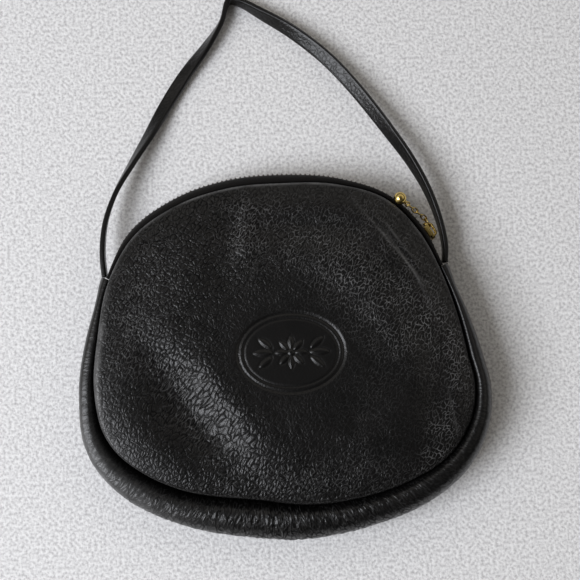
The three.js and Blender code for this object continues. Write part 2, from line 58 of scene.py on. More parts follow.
# %% Outline table
# bearing, seam from the origin, swell of the edge past the seam, drop of the swell's crest below
# the panel, radius of the crest's turn into the groove, radius of the panel's own edge
EDGE = np.array([
    (0, 75.2, 7.5, 1.6, 2.0, 2.8), (14, 73.4, 5.4, 1.8, 1.8, 2.2), (28, 74.1, 2.8, 2.2, 1.2, 1.6),
    (42, 76.8, 3.6, 2.6, 1.2, 1.4), (56, 78.7, 3.3, 2.8, 1.2, 1.4), (72, 75.9, 4.1, 3.0, 1.2, 1.4),
    (90, 73.4, 5.1, 3.0, 1.2, 1.4), (108, 75.4, 5.0, 3.0, 1.2, 1.4), (124, 78.6, 4.7, 2.8, 1.2, 1.4),
    (140, 81.4, 4.2, 2.6, 1.2, 1.4), (155, 80.3, 2.8, 2.2, 1.2, 1.8), (172, 78.3, 6.2, 2.4, 1.8, 2.4),
    (188, 80.0, 8.1, 3.0, 3.2, 2.4), (200, 81.0, 10.4, 3.8, 5.4, 2.0), (208, 79.4, 12.6, 4.4, 6.8, 1.6),
    (217, 75.3, 14.6, 5.0, 7.2, 1.6), (230, 69.0, 15.5, 5.0, 7.2, 2.2), (245, 62.3, 16.7, 4.8, 6.8, 2.8),
    (258, 59.3, 16.7, 4.5, 6.4, 3.0), (270, 59.9, 16.0, 4.2, 5.6, 3.0), (284, 62.1, 14.3, 3.8, 5.0, 3.0),
    (298, 65.5, 13.6, 3.2, 4.8, 3.0), (314, 71.9, 13.0, 2.4, 4.2, 3.0), (328, 78.3, 10.8, 1.8, 3.2, 3.0),
    (340, 80.3, 9.2, 1.5, 2.8, 3.0), (350, 79.0, 8.1, 1.5, 2.4, 3.0),
])


def curve(t, start, leave, end, arrive):
    """Place and direction part of the way along a smooth curve with a given slope at each end."""
    bend = 2 * (start - end) + leave + arrive
    sway = 3 * (end - start) - 2 * leave - arrive
    return ((bend * t + sway) * t + leave) * t + start, (3 * bend * t + 2 * sway) * t + leave


def around(column):
    """A closed curve through one column of EDGE, read at bearings in degrees."""
    bearing, value = EDGE[:, 0], EDGE[:, column]
    ahead = np.append(bearing[1:], bearing[0] + 360)
    behind = np.insert(bearing[:-1], 0, bearing[-1] - 360)
    slope = (np.roll(value, -1) - np.roll(value, 1)) / (ahead - behind)

    def read(at):
        at = np.mod(at, 360)
        i = np.searchsorted(bearing, at, side="right") - 1
        j = (i + 1) % len(bearing)
        span = ahead[i] - bearing[i]
        return curve((at - bearing[i]) / span, value[i], span * slope[i], value[j], span * slope[j])[0]

    return read


seam_at, swell_at, drop_at, crest_at, edge_at = (around(column) for column in (1, 2, 3, 4, 5))


def polar(bearing, distance):
    """The x and y of places at a bearing and a distance from the origin."""
    angle = np.radians(bearing)
    return distance * np.cos(angle), distance * np.sin(angle)


ring = np.arange(0, 360, 0.5)
ring_x, ring_y = polar(ring, seam_at(ring) + swell_at(ring))
print(f"outline {np.ptp(ring_x):.1f} x {np.ptp(ring_y):.1f} mm")

# %% [markdown]
# ## From points to a piece
#
# Most pieces are sheets or bars, so two ways of joining points serve nearly all of them: strips
# between equal loops, and a cap at each end. Modifiers could thicken a single sheet, but points
# worked out by formula keep each seam where the solid has it. A finished piece stands for its solid,
# which is hidden.

# %% Joining points
def strips(first, second):
    """Quads between two closed loops of point numbers."""
    return np.stack([first, second, np.roll(second, -1), np.roll(first, -1)], 1).tolist()


def swept(loops, closes=False):
    """Faces through equal closed loops of points, capped at both ends unless the sweep closes."""
    count, size = loops.shape[:2]
    numbers = np.arange(count * size).reshape(count, size)
    faces = []
    for k in range(count if closes else count - 1):
        faces += strips(numbers[k], numbers[(k + 1) % count])
    if not closes:
        faces += [numbers[0].tolist(), numbers[-1][::-1].tolist()]
    return loops.reshape(-1, 3), faces


def inside_out(shell):
    """The same shell with its faces turned round."""
    points, faces = shell
    return points, [face[::-1] for face in faces]


def together(*shells):
    """Several closed shells as the points and faces of one piece."""
    points, faces, start = [], [], 0
    for shell_points, shell_faces in shells:
        points.append(shell_points)
        faces += [[start + i for i in face] for face in shell_faces]
        start += len(shell_points)
    return np.concatenate(points), faces


# %% Making a piece
def make_piece(name, shell, material, node, slot, **marks):
    """A mesh piece that stands for a solid, with measured marks stored at its points."""
    points, faces = shell
    mesh = bpy.data.meshes.new(name)
    mesh.from_pydata((points * MM).tolist(), [], faces)
    mesh.shade_smooth()
    for mark, values in marks.items():
        values = np.asarray(values, dtype=np.float32)
        kind, field = ("FLOAT_VECTOR", "vector") if values.ndim == 2 else ("FLOAT", "value")
        mesh.attributes.new(mark, kind, "POINT").data.foreach_set(field, values.ravel())
    mesh.materials.append(material)
    piece = bpy.data.objects.new(name, mesh)
    bpy.context.collection.objects.link(piece)
    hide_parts(node)
    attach(piece, "root")
    print(f"{name}: {sum(len(face) - 2 for face in faces)} triangles")
    return piece


# %% [markdown]
# ## Leather
#
# The hide was drum dyed and tumbled until its grain shrank into pebbles, so it looks almost black,
# with a soft satin shine that breaks up on every pebble. A picture of leather could be wrapped round
# the bag, but a pattern worked out in the shader has no seams and keeps its real size. Each leather
# piece stores where a point lies on the flat hide, so the grain follows the piece, and how deep the
# grain is there, because stretched leather turns smooth.

# %% One function for shader nodes, one for colours
def linear(hex_colour):
    """An sRGB hex colour as linear light."""
    parts = [int(hex_colour[i:i + 2], 16) / 255 for i in (1, 3, 5)]
    return [p / 12.92 if p <= 0.04045 else ((p + 0.055) / 1.055) ** 2.4 for p in parts] + [1]


def feed(node, inputs):
    """Gives a shader node its values and the outputs that are linked to it."""
    for socket, value in dict(inputs).items():
        if isinstance(value, bpy.types.NodeSocket):
            node.id_data.links.new(value, node.inputs[socket])
        else:
            node.inputs[socket].default_value = value


def add(tree, kind, inputs=(), out=None, **settings):
    """Adds a shader node with its settings and links; gives the named output, or the node."""
    made = tree.nodes.new("ShaderNode" + kind)
    for name, value in settings.items():
        setattr(made, name, value)
    feed(made, inputs)
    return made.outputs[out] if out else made


def new_finish(name):
    """An empty material, its node tree and its shader."""
    material = bpy.data.materials.new(name)
    material.use_nodes = True
    return material, material.node_tree, material.node_tree.nodes["Principled BSDF"]


# %% Places on the hide
DRIFT, DRIFT_LENGTH = 2.6, 5.0  # how far rows of pebbles wander, and over what length

pebbled_leather, leather, leather_shader = new_finish("drum_dyed_pebbled_leather")
hide = add(leather, "Attribute", (), "Vector", attribute_name="hide_place")
grain_depth = add(leather, "Attribute", (), "Fac", attribute_name="grain_depth")
drift = add(leather, "TexNoise", {"Vector": hide, "Scale": 1 / DRIFT_LENGTH, "Detail": 1}, "Color",
            noise_dimensions="2D")
bent = add(leather, "VectorMath", {0: drift, 1: (DRIFT, DRIFT, 0), 2: hide}, "Vector",
           operation="MULTIPLY_ADD")


def drawn_out(heading, long):
    """The bent hide, stretched along a heading."""
    stretch = {"Vector": bent, "Rotation": (0, 0, math.radians(heading)), "Scale": (long, 1, 1)}
    return add(leather, "Mapping", stretch, "Vector", vector_type="TEXTURE")


def cells(place, across, scatter, shut, full, blend="SMOOTHSTEP"):
    """Cells of a given width: 0 and 1 at two distances from their edges, counted in widths."""
    strewn = {"Vector": place, "Scale": 1 / across, "Randomness": scatter}
    rim = add(leather, "TexVoronoi", strewn, "Distance", voronoi_dimensions="2D",
              feature="DISTANCE_TO_EDGE")
    return add(leather, "MapRange", {"Value": rim, "From Min": shut, "From Max": full}, "Result",
               interpolation_type=blend)


def patches(length, detail, low, high, least=0.0, most=1.0):
    """Uneven patches of a given length on the hide, from least to most."""
    cloud = add(leather, "TexNoise", {"Vector": hide, "Scale": 1 / length, "Detail": detail}, "Fac",
                noise_dimensions="2D")
    spread = {"Value": cloud, "From Min": low, "From Max": high, "To Min": least, "To Max": most}
    return add(leather, "MapRange", spread, "Result")


# %% [markdown]
# Cells 1.75 mm across make the pebbles, smaller cells crack their tops, and soft lumps keep the
# rows from looking ruled. Here and there the pebbles run together, and each leans its own way, so
# the light picks out some and misses others.

# %% Pebbles of the grain
PEBBLE, CRACK, LUMP = 1.75, 0.9, 2.0  # width of a cell
PEBBLE_LONG, PEBBLE_HEADING, SCATTER = 1.3, 58, 0.85  # drawn out this way, strewn this unevenly
PEBBLE_TALL, CRACK_TALL, LUMP_TALL, PEBBLE_TILT = 0.1, 0.03, 0.15, 0.12
PEBBLE_VALLEY, CRACK_VALLEY = 0.36, 0.3  # how far a crease reaches into its cell
PATCH, RUN_TOGETHER = 10 / 3, 0.28  # length of the patches, and how much of a crease fills there

drawn = drawn_out(PEBBLE_HEADING, PEBBLE_LONG)
filled = patches(PATCH, detail=1, low=0.35, high=0.6, least=RUN_TOGETHER, most=0)
pebbles = add(leather, "Mix", {"Factor": filled, "A": cells(drawn, PEBBLE, SCATTER, 0, PEBBLE_VALLEY),
                               "B": 1.0}, "Result", data_type="FLOAT")
nearest = add(leather, "TexVoronoi", {"Vector": drawn, "Scale": 1 / PEBBLE, "Randomness": SCATTER},
              voronoi_dimensions="2D")
off_centre = add(leather, "VectorMath", {0: drawn, 1: nearest.outputs["Position"]}, "Vector",
                 operation="SUBTRACT")
own_way = add(leather, "VectorMath", {0: nearest.outputs["Color"], 1: (0.5, 0.5, 0.5)}, "Vector",
              operation="SUBTRACT")
tilt = add(leather, "VectorMath", {0: off_centre, 1: own_way}, "Value", operation="DOT_PRODUCT")
top = add(leather, "Math", {0: tilt, 1: PEBBLE_TILT, 2: PEBBLE_TALL}, "Value", operation="MULTIPLY_ADD")
height = add(leather, "Math", {0: pebbles, 1: top}, "Value", operation="MULTIPLY")
cracks = cells(drawn, CRACK, SCATTER, 0, CRACK_VALLEY)
lumps = add(leather, "TexNoise", {"Vector": bent, "Scale": 1 / LUMP, "Detail": 2}, "Fac",
            noise_dimensions="2D")
for layer, tall in ((cracks, CRACK_TALL), (lumps, LUMP_TALL)):
    height = add(leather, "Math", {0: layer, 1: tall, 2: height}, "Value", operation="MULTIPLY_ADD")
print("pebbles:", len(leather.nodes), "nodes")

# %% [markdown]
# Where the hide has been stretched or gripped, fine crests stand round small cells like a net. They
# come and go in patches and break off along their length. The front and the gusset mark where they
# show most.

# %% Net of fine wrinkles
NET_CELL, NET_LONG, NET_HEADING, NET_SCATTER = 1.2, 1.9, 60, 0.9
CREST_THIN, CREST_TALL = 0.14, 0.1  # half width of a crest, of its cell, and its height
NET_PATCH, BREAK = 20 / 3, 10 / 7  # length of the patches and of the breaks

net = cells(drawn_out(NET_HEADING, NET_LONG), NET_CELL, NET_SCATTER, CREST_THIN, 0, "LINEAR")
unbroken = patches(BREAK, detail=2, low=0.34, high=0.56)
patchwise = patches(NET_PATCH, detail=2, low=0.35, high=0.6, least=0.35)
net_mark = add(leather, "Attribute", (), "Fac", attribute_name="wrinkled")
wrinkles = net
for share in (unbroken, patchwise, net_mark):
    wrinkles = add(leather, "Math", {0: wrinkles, 1: share}, "Value", operation="MULTIPLY")
height = add(leather, "Math", {0: wrinkles, 1: CREST_TALL, 2: height}, "Value",
             operation="MULTIPLY_ADD")
raised = add(leather, "Math", {0: height, 1: grain_depth}, "Value", operation="MULTIPLY")
relief = add(leather, "Bump", {"Height": raised, "Strength": 1, "Distance": MM}, "Normal")
feed(leather_shader, {"Normal": relief})
print("with wrinkles:", len(leather.nodes), "nodes")

# %% [markdown]
# Drum dye goes all through the hide and clouds a little. Wear takes it off the crests and the edges,
# which turn grey, and the same grey also paints the highlights that the window would put on crest
# lines, crease lips and lit edges. The creases are rougher than the pebble tops, and their shine is
# turned down as painted shade, most where the grain is deep.

# %% Dye, grey of wear and painted highlights, and shine
# the last tone is one grey for worn dye and for painted highlights
DYE_DARK, DYE_LIGHT, RUBBED_AND_LIT_DYE = "#080808", "#0e0d0d", "#7c7c7c"
DYE_CLOUD = 100 / 7  # length of the clouds in the dye
CREST_BARED_AND_LIT = 0.9  # how far the crests turn grey: worn dye, and painted glints
TOP_ROUGH, CREASE_ROUGH = 0.31, 0.5
# shine on the pebble tops, and the lower shine in the creases, which paints their shade
TOP_SHINE, CREASE_SHADE_SHINE = 0.41, 0.08

clouds = patches(DYE_CLOUD, detail=4, low=0.3, high=0.7)
dye = add(leather, "Mix", {"Factor": clouds, "A": linear(DYE_DARK), "B": linear(DYE_LIGHT)}, "Result",
          data_type="RGBA")
# grey marks of each piece and the wrinkle crests: worn dye together with painted highlights and glints
rubbed_mark = add(leather, "Attribute", (), "Fac", attribute_name="rubbed")
bared_and_lit = add(leather, "Math", {0: wrinkles, 1: CREST_BARED_AND_LIT, 2: rubbed_mark}, "Value",
            operation="MULTIPLY_ADD", use_clamp=True)
worn_and_lit = add(leather, "Mix", {"Factor": bared_and_lit, "A": dye, "B": linear(RUBBED_AND_LIT_DYE)}, "Result",
           data_type="RGBA")
shut = add(leather, "MapRange", {"Value": pebbles, "From Min": 0.6, "From Max": 0.05}, "Result",
           interpolation_type="SMOOTHSTEP")
deep = add(leather, "MapRange", {"Value": grain_depth, "From Min": 0.4, "To Min": 0.15}, "Result")
crease = add(leather, "Math", {0: shut, 1: deep}, "Value", operation="MULTIPLY")
satin = add(leather, "MapRange", {"Value": crease, "To Min": TOP_ROUGH, "To Max": CREASE_ROUGH}, "Result")
# the shine drops in the creases as painted shade
shine_with_crease_shade = add(leather, "MapRange", {"Value": crease, "To Min": TOP_SHINE, "To Max": CREASE_SHADE_SHINE}, "Result")
feed(leather_shader, {"Base Color": worn_and_lit, "Roughness": satin, "Specular IOR Level": shine_with_crease_shade})
print("leather:", len(leather.nodes), "nodes")

# %% [markdown]
# ## Front panel
#
# The front is one piece of leather, pushed up by what is inside and dented where the bag has been
# gripped. It is drawn as a grid bent to the outline, then lifted by a crown, by broad folds and by
# narrow creases. Sculpting by hand could do the same, but a table of folds is easy to read and to
# change. Each row is one soft ridge or dent with its place, its heading and its reach.

# %% Panel sizes and folds
LEATHER, SEAM_LAP, BACK_CREST, GAP = 1.2, 2.5, 0.4, 0.3
GROOVE_STRETCH, BACK_SHARE = 1.4, 0.5  # depth of the front groove, turn of the back one, of the crest
CROWN, CROWN_POWER, FOLD_FADE = 5.0, 5, 7
LEVEL_BEARING, LEVEL_SPREAD, LEVEL_SHARE = 180, 42, 0.72  # where the panel runs level to its edge
MIDDLE_X, MIDDLE_Y = 2.0, 1.7
SEAM_HEIGHT, SEAM_FALL = 24.5, 0.041  # height of the front seam, and its fall towards the zip

# middle x, y, heading in degrees, reach along and across, lift
FOLDS = [
    (-38, -23, -54, 31, 10.5, -4.5), (-22, 50, 84, 18, 9, -1.6), (44, 46, -52, 26, 5, 0.9),
    (60, -18, 82, 24, 7, -1.6), (22, -44, 8, 30, 7, -1.2), (-58, 32, 62, 20, 12, -0.8),
    (6, 54, -4, 27, 6.5, -2.4), (22, 38, -30, 20, 9, 1.2), (46, 8, -62, 26, 7, 1.0),
]
SOFT_DENTS = [  # shallow hollows and swells: the same columns
    (-16, 51, 78, 12, 4, 1.5), (28, -22, 30, 20, 12, -0.7), (-25, -10, -54, 24, 9, 1.3),
    (-47, -31, -54, 26, 9, -1.1),
]
CREASES = [  # narrow lines: the same columns
    (46, 46, -52, 24, 1.0, -0.6), (52, 38, -58, 14, 0.9, -0.4), (68, -24, -80, 15, 0.9, -0.3),
    (64, -30, -70, 12, 0.9, -0.25), (57, 24, -66, 14, 1.2, -0.2),
    (-12, 40, 70, 9, 1.1, -0.25), (6, 52, -8, 12, 1.6, 0.3),
]
print("folds:", len(FOLDS), "soft dents:", len(SOFT_DENTS), "creases:", len(CREASES))


# %% Reading the tables
def front_height(y):
    """Height of the front seam."""
    return SEAM_HEIGHT - SEAM_FALL * y


def bell(distance, spread):
    """1 at no distance, falling softly to 0 past a spread."""
    return np.exp(-((distance / spread) ** 2))


def towards(bearing, middle, spread):
    """1 in the middle of one side of the bag, falling to 0 away from it."""
    return bell(np.mod(bearing, 360) - middle, spread)


def level_rise(bearing):
    """How far the panel's edge stays up where it runs level to its seam."""
    return CROWN * LEVEL_SHARE * towards(bearing, LEVEL_BEARING, LEVEL_SPREAD)


def along_across(x, y, middle_x, middle_y, heading):
    """Distances from a middle along a heading and across it."""
    x, y = x - middle_x, y - middle_y
    c, s = math.cos(math.radians(heading)), math.sin(math.radians(heading))
    return x * c + y * s, y * c - x * s


def lifted(table, x, y):
    """What the soft ridges and dents of a table add up to at a place."""
    lift = np.zeros_like(x)
    for *place, long, wide, up in table:
        along, across = along_across(x, y, *place)
        lift += up * bell(along, long) * bell(across, wide)
    return lift


def ripple(u, v, seed):
    """Smooth noise between about -1 and 1 at places counted in ripple lengths."""
    values = [noise.noise(Vector((a, b, seed))) for a, b in zip(np.ravel(u), np.ravel(v))]
    return np.reshape(values, np.shape(u))


# %% [markdown]
# The middle carries a pressed oval with a plain rosette between two sprigs. It is stamped hot on the
# real thing, so the lines sink in and the petals stay proud. It could be a bump in the shader, but
# real relief keeps its edges from every side.

# %% Pressed oval
OVAL_LONG, OVAL_WIDE = 21.7, 16.2
OVAL_LINES = [(0, 0.6, 0.5), (-2.3, 0.45, 0.3)]  # distance from the rim, width and depth of a line
OVAL_SUNK, OVAL_STEP = 0.12, 0.3  # depth of the whole oval, and width of the step down
LEAF_TALL, LEAF_LINE, LEAF_LINE_DEEP, LEAF_TIP, LEAF_THIN = 0.4, 0.4, 0.22, 9, 0.05
BUTTON_RADIUS, PETAL_COUNT, PETAL_OUT = 1.1, 8, 4.1
TINY = 1e-6
# middle x, y, heading, half length, half width
SPRIG = [(11.6, 0, 0, 4.2, 1.5), (10.6, 3.9, 38, 3.6, 1.3), (10.6, -3.9, -38, 3.6, 1.3)]
LEAVES = [(side * x, y, side * heading, *size) for side in (1, -1) for x, y, heading, *size in SPRIG]
PETALS = [(PETAL_OUT * math.cos(t), PETAL_OUT * math.sin(t), math.degrees(t), 2.7, 1.15)
          for t in np.arange(PETAL_COUNT) * 2 * math.pi / PETAL_COUNT]


def oval_share(x, y):
    """0 in the middle of the oval, 1 on its rim."""
    return np.hypot((x - MIDDLE_X) / OVAL_LONG, (y - MIDDLE_Y) / OVAL_WIDE)


def leaf_relief(along, across, wide):
    """A leaf that stands up inside a sunk outline, where along runs from -1 to 1."""
    width = wide * np.clip(1 - along ** 2, 0, 1)
    inside = np.clip(1 - (across / np.maximum(width, LEAF_THIN)) ** 2, 0, 1)
    past_tip = np.maximum(np.abs(along) - 1, 0)
    outline = bell(np.abs(across) - width, LEAF_LINE) * np.exp(-past_tip * LEAF_TIP)
    return LEAF_TALL * np.sqrt(inside) * (np.abs(along) < 1) - LEAF_LINE_DEEP * outline


def pressed(x, y):
    """Relief of the stamped oval: sunk lines, leaves, and a round button in the middle."""
    share = np.maximum(oval_share(x, y), TINY)
    x, y = x - MIDDLE_X, y - MIDDLE_Y
    reach = np.hypot(x, y)
    from_edge = (share - 1) * reach / share
    stamp = -OVAL_SUNK / (1 + np.exp(from_edge / OVAL_STEP))
    for place, wide, deep in OVAL_LINES:
        stamp -= deep * bell(from_edge - place, wide)
    for *place, long, wide in LEAVES + PETALS:
        along, across = along_across(x, y, *place)
        stamp += leaf_relief(along / long, across, wide)
    return stamp + LEAF_TALL * np.sqrt(np.clip(1 - (reach / BUTTON_RADIUS) ** 2, 0, 1))


print("oval:", len(LEAVES), "leaves and", len(PETALS), "petals")

# %% [markdown]
# Both panels are made alike: a square grid pressed into the outline, which has no pinched middle as
# a fan of spokes would, then a rolled shoulder and a seam allowance that goes down into the groove.
# A coarser inner side closes the skin, so that it is a sheet of real thickness.

# %% Panel skin
SPREAD_OUT = 0.8  # spacing of the grid in the middle, of even spacing: closer there for the oval
OUTER_TURNS, INNER_TURNS = 7, 3  # steps over the shoulder


def panel_grid(across, up):
    """A grid bent to the outline: places, share of the way out to the rim, and bearing."""
    u, v = np.meshgrid(np.linspace(-1, 1, across + 1), np.linspace(-1, 1, up + 1), indexing="ij")
    u, v = (w * (SPREAD_OUT + (1 - SPREAD_OUT) * w * w) for w in (u, v))
    disc_x, disc_y = u * np.sqrt(1 - v * v / 2), v * np.sqrt(1 - u * u / 2)
    share, bearing = np.hypot(disc_x, disc_y), np.degrees(np.arctan2(disc_y, disc_x))
    rim_x, rim_y = polar(bearing, seam_at(bearing) - edge_at(bearing))
    x = MIDDLE_X + share * (rim_x - MIDDLE_X)
    y = MIDDLE_Y + share * (rim_y - MIDDLE_Y)
    return x, y, share, bearing


def panel_edge(bearing, level, thick, groove, turns):
    """Loops from the rim over the rolled shoulder and down the seam allowance."""
    seam, bend = seam_at(bearing), edge_at(bearing)
    rows = []
    for turn in np.radians(np.linspace(0, 90, turns + 1)[1:]):
        rows.append((seam - bend + (bend - thick) * math.sin(turn),
                     level + (bend - thick) * math.cos(turn) - bend))
    rows.append((seam - thick, level - groove(bearing) - SEAM_LAP))
    return [np.stack([*polar(bearing, out), z], -1) for out, z in rows]


def panel_skin(across, up, coarse, face, groove):
    """A panel facing up: outer skin, shoulder, seam allowance and a coarser inner skin."""
    layers, faces, hems, start = [], [], [], 0
    for thick, step, turns, order in ((0, 1, OUTER_TURNS, 1), (LEATHER, coarse, INNER_TURNS, -1)):
        x, y, share, bearing = panel_grid(across // step, up // step)
        grid = np.stack([x, y, face(x, y, share) - thick], -1).reshape(-1, 3)
        n = np.arange(share.size).reshape(share.shape)
        rim = np.concatenate([n[:-1, 0], n[-1, :-1], n[:0:-1, -1], n[0, :0:-1]])
        corners = [n[:-1, :-1], n[1:, :-1], n[1:, 1:], n[:-1, 1:]]
        faces += (start + np.stack(corners[::order], -1).reshape(-1, 4)).tolist()
        edge = panel_edge(bearing.ravel()[rim], grid[rim, 2] + thick, thick, groove, turns)
        first = start + len(grid)
        loops = [start + rim, *(first + k * len(rim) + np.arange(len(rim)) for k in range(len(edge)))]
        for pair in zip(loops, loops[1:]):
            faces += strips(*pair[::order])
        layers += [grid, *edge]
        hems.append(loops[-1])
        start = first + len(edge) * len(rim)
    outer, inner = hems
    for j, here in enumerate(inner):
        following = inner[(j + 1) % len(inner)]
        fine = [outer[(j * coarse + k) % len(outer)] for k in range(coarse, -1, -1)]
        faces.append([here, following, *fine])
    return np.concatenate(layers), faces


# %% Shape of the front
RIPPLES = [(15, 0.32, 3), (5, 0.1, 8)]  # length, height and seed of the hide's own unevenness
PUCKERED = [(96, 34, 0.16), (178, 26, 0.2)]  # where sewing puckers the edge: bearing, spread, height
PANEL_REACH, PUCKER_IN, PUCKER_SPREAD, PUCKER_LONG = 75, 5, 7, 16
PUCKERS_A_RADIAN, PUCKER_SEED = 45, 5
OVAL_CLEAR, OVAL_REACH = 1.05, 1.25  # where fine folds begin and the stamp ends, as shares of the oval


def puckers(bearing, share):
    """Small ripples along the edge where the stitching draws the leather in."""
    from_rim = (1 - share) * PANEL_REACH
    tall = sum(height * towards(bearing, middle, spread) for middle, spread, height in PUCKERED)
    tall = tall * bell(from_rim - PUCKER_IN, PUCKER_SPREAD)
    along = np.radians(np.mod(bearing, 360)) * PUCKERS_A_RADIAN
    return tall * ripple(along, from_rim / PUCKER_LONG, PUCKER_SEED)


def front_face(x, y, share):
    """Height of the front: the crown, folds that fade at the seam, and the pressed oval."""
    bearing = np.degrees(np.arctan2(y - MIDDLE_Y, x - MIDDLE_X))
    crown = CROWN - (CROWN - level_rise(bearing)) * share ** CROWN_POWER
    fine = lifted(CREASES + SOFT_DENTS, x, y) + puckers(bearing, share)
    for length, tall, seed in RIPPLES:
        fine += tall * ripple(x / length, y / length, seed)
    off_oval = np.clip(oval_share(x, y) - OVAL_CLEAR, 0, 1)
    folds = (lifted(FOLDS, x, y) + fine * off_oval) * (1 - share ** FOLD_FADE)
    stamp = np.where(oval_share(x, y) < OVAL_REACH, pressed(x, y), 0)
    return front_height(y) + crown + folds + stamp


def front_groove(bearing):
    """Depth of the groove beside the front panel."""
    return GROOVE_STRETCH * crest_at(bearing) + drop_at(bearing) + level_rise(bearing)


front = panel_skin(across=312, up=260, coarse=4, face=front_face, groove=front_groove)
print(f"front reaches {front[0][:, 2].max():.1f} mm up")

# %% [markdown]
# The front's marks come from the same kind of table. Grain is deep at the left and along the bottom
# and shallow where the hide is drawn tight, and wrinkles show most where a hand has held the bag. The
# edge beside the zip, the left edge and the lips of some creases turn grey: partly lost dye, partly a
# painted highlight where the window would catch them.

# %% Marks on the front
GRAIN = [  # where the grain stands out: middle x, y, heading, reach along and across, depth
    (-46, 2, 90, 44, 26, 0.5), (-26, -34, -54, 34, 18, 0.6), (14, -54, 0, 44, 14, 0.55),
    (-14, 42, 0, 30, 16, 0.4), (38, 34, -50, 30, 13, 0.3), (70, -18, 90, 30, 8, 0.1),
    (-40, 48, 40, 26, 13, 0.9),
]
WRINKLED = [  # where the wrinkles stand out: the same columns, and how much
    (38, 24, -44, 36, 13, 0.95), (-16, 52, 80, 14, 9, 0.7), (62, -36, 77, 18, 6, 0.9),
    (-62, 22, 76, 32, 11, 0.5), (-42, -20, -54, 26, 7, 0.4), (20, -50, 0, 40, 8, 0.3),
    (67, 4, -68, 28, 7, 0.75), (46, 50, -48, 26, 8, 0.22), (4, 60, -4, 46, 8, 0.22),
    (8, 45, -8, 26, 7, 0.4), (34, -22, 80, 26, 9, 0.1),
]
SCUFFS_AND_LIT_LIPS = [  # crease lips turn grey, for lost dye and a painted highlight: the same columns, and how far
    (45.2, 45.4, -52, 17, 0.45, 0.7), (51.2, 37.6, -58, 11, 0.4, 0.8), (48, 47.5, -54, 8, 0.4, 0.5),
    (57.8, 24.4, -66, 9, 0.4, 0.4), (67.4, -24, -80, 10, 0.4, 0.45),
]
# the zip edge and the left edge turn grey, for worn dye and a painted highlight
RUBBED_AND_LIT_EDGES = [(92, 62, 0.5, 0.55), (184, 20, 1.4, 1.3)]  # bearing, spread, distance from seam, width
PLAIN_GRAIN, DEEPEST_GRAIN, PLAIN_WRINKLES = 0.6, 1.5, 0.06
OVAL_GRAIN, OVAL_GRAIN_FROM, OVAL_GRAIN_RISE = 0.12, 0.7, 1.4  # stamping pressed the grain flat
RUBBED_AND_LIT_MOST, RUBBED_AND_LIT_PATCH, RUBBED_AND_LIT_SEED = 0.6, 6, 11
SHOULDER_SHARE = 0.85  # the grey reaches this far down the shoulder, of its radius
STRETCH_X, STRETCH_Y, STRETCH_REACH, STRETCH = -36, -22, 30, 0.45  # the hide gives across the long fold
ACROSS_X, ACROSS_Y = 0.64, 0.77


def stretched_hide(x, y):
    """Places on the flat hide, which the long fold has drawn out across itself."""
    from_x, from_y = x - STRETCH_X, y - STRETCH_Y
    near = bell(np.hypot(from_x, from_y), STRETCH_REACH)
    slip = STRETCH * (from_x * ACROSS_X + from_y * ACROSS_Y) * near
    return np.stack([x - ACROSS_X * slip, y - ACROSS_Y * slip, np.zeros_like(x)], -1)


def patchily(u, v, seed, mean, swing, least):
    """A share between least and 1 that wanders from place to place."""
    return np.clip(mean + swing * ripple(u, v, seed), least, 1)


def front_rubbed(x, y, z):
    """How grey the edges and crease lips turn: worn dye, and a painted highlight."""
    bearing = np.degrees(np.arctan2(y, x))
    from_seam = seam_at(bearing) - np.hypot(x, y)
    share = lifted(SCUFFS_AND_LIT_LIPS, x, y)
    for middle, spread, inside, wide in RUBBED_AND_LIT_EDGES:
        share += towards(bearing, middle, spread) * bell(from_seam - inside, wide)
    on_top = front_height(y) + level_rise(bearing) - z < SHOULDER_SHARE * edge_at(bearing)
    uneven = patchily(x / RUBBED_AND_LIT_PATCH, y / RUBBED_AND_LIT_PATCH, RUBBED_AND_LIT_SEED, mean=0.75, swing=0.9, least=0.2)
    return RUBBED_AND_LIT_MOST * share * on_top * uneven


front_x, front_y, front_z = front[0].T
front_oval = oval_share(front_x, front_y)
front_grain = np.clip(PLAIN_GRAIN + lifted(GRAIN, front_x, front_y), 0, DEEPEST_GRAIN)
front_grain *= np.clip((front_oval - OVAL_GRAIN_FROM) * OVAL_GRAIN_RISE, OVAL_GRAIN, 1)
front_net = np.clip(PLAIN_WRINKLES + lifted(WRINKLED, front_x, front_y), 0, 1)
make_piece("front_panel_skin", front, pebbled_leather, "front_panel", "black_leather",
           hide_place=stretched_hide(front_x, front_y), grain_depth=front_grain,
           rubbed=front_rubbed(front_x, front_y, front_z), wrinkled=front_net * (front_oval > OVAL_CLEAR))

# %% [markdown]
# ## Back panel
#
# The back is the same cut of leather, pressed flat by the bag's own weight where it rests. It is
# made facing up like the front and then turned over. It is cut from another part of the hide, so
# its grain doesn't repeat the front's.

# %% Back skin
BACK_CUT, GUSSET_CUT, STRAP_CUT = 300, 600, 1200  # where each piece was cut along the hide


def back_groove(bearing):
    """Depth of the groove beside the back panel."""
    return np.maximum(BACK_SHARE * crest_at(bearing), LEATHER) + BACK_CREST


back_points, back_faces = panel_skin(across=120, up=100, coarse=4, groove=back_groove,
                                     face=lambda x, y, share: np.zeros_like(x))
back = inside_out((back_points * (1, 1, -1), back_faces))
make_piece("back_panel_skin", back, pebbled_leather, "back_panel", "black_leather",
           hide_place=back[0] * (1, 1, 0) + (BACK_CUT, 0, 0),
           grain_depth=np.full(len(back[0]), PLAIN_GRAIN))

# %% [markdown]
# ## Gusset
#
# A band of leather joins the two panels round the sides and the bottom. It was sewn in inside out
# and turned, so along each seam it rolls over into a deep groove, and round the tight bottom
# corners the spare length gathers in small folds across the band. A section is drawn at every
# bearing and the sections are joined, which follows the swelling edge closely.

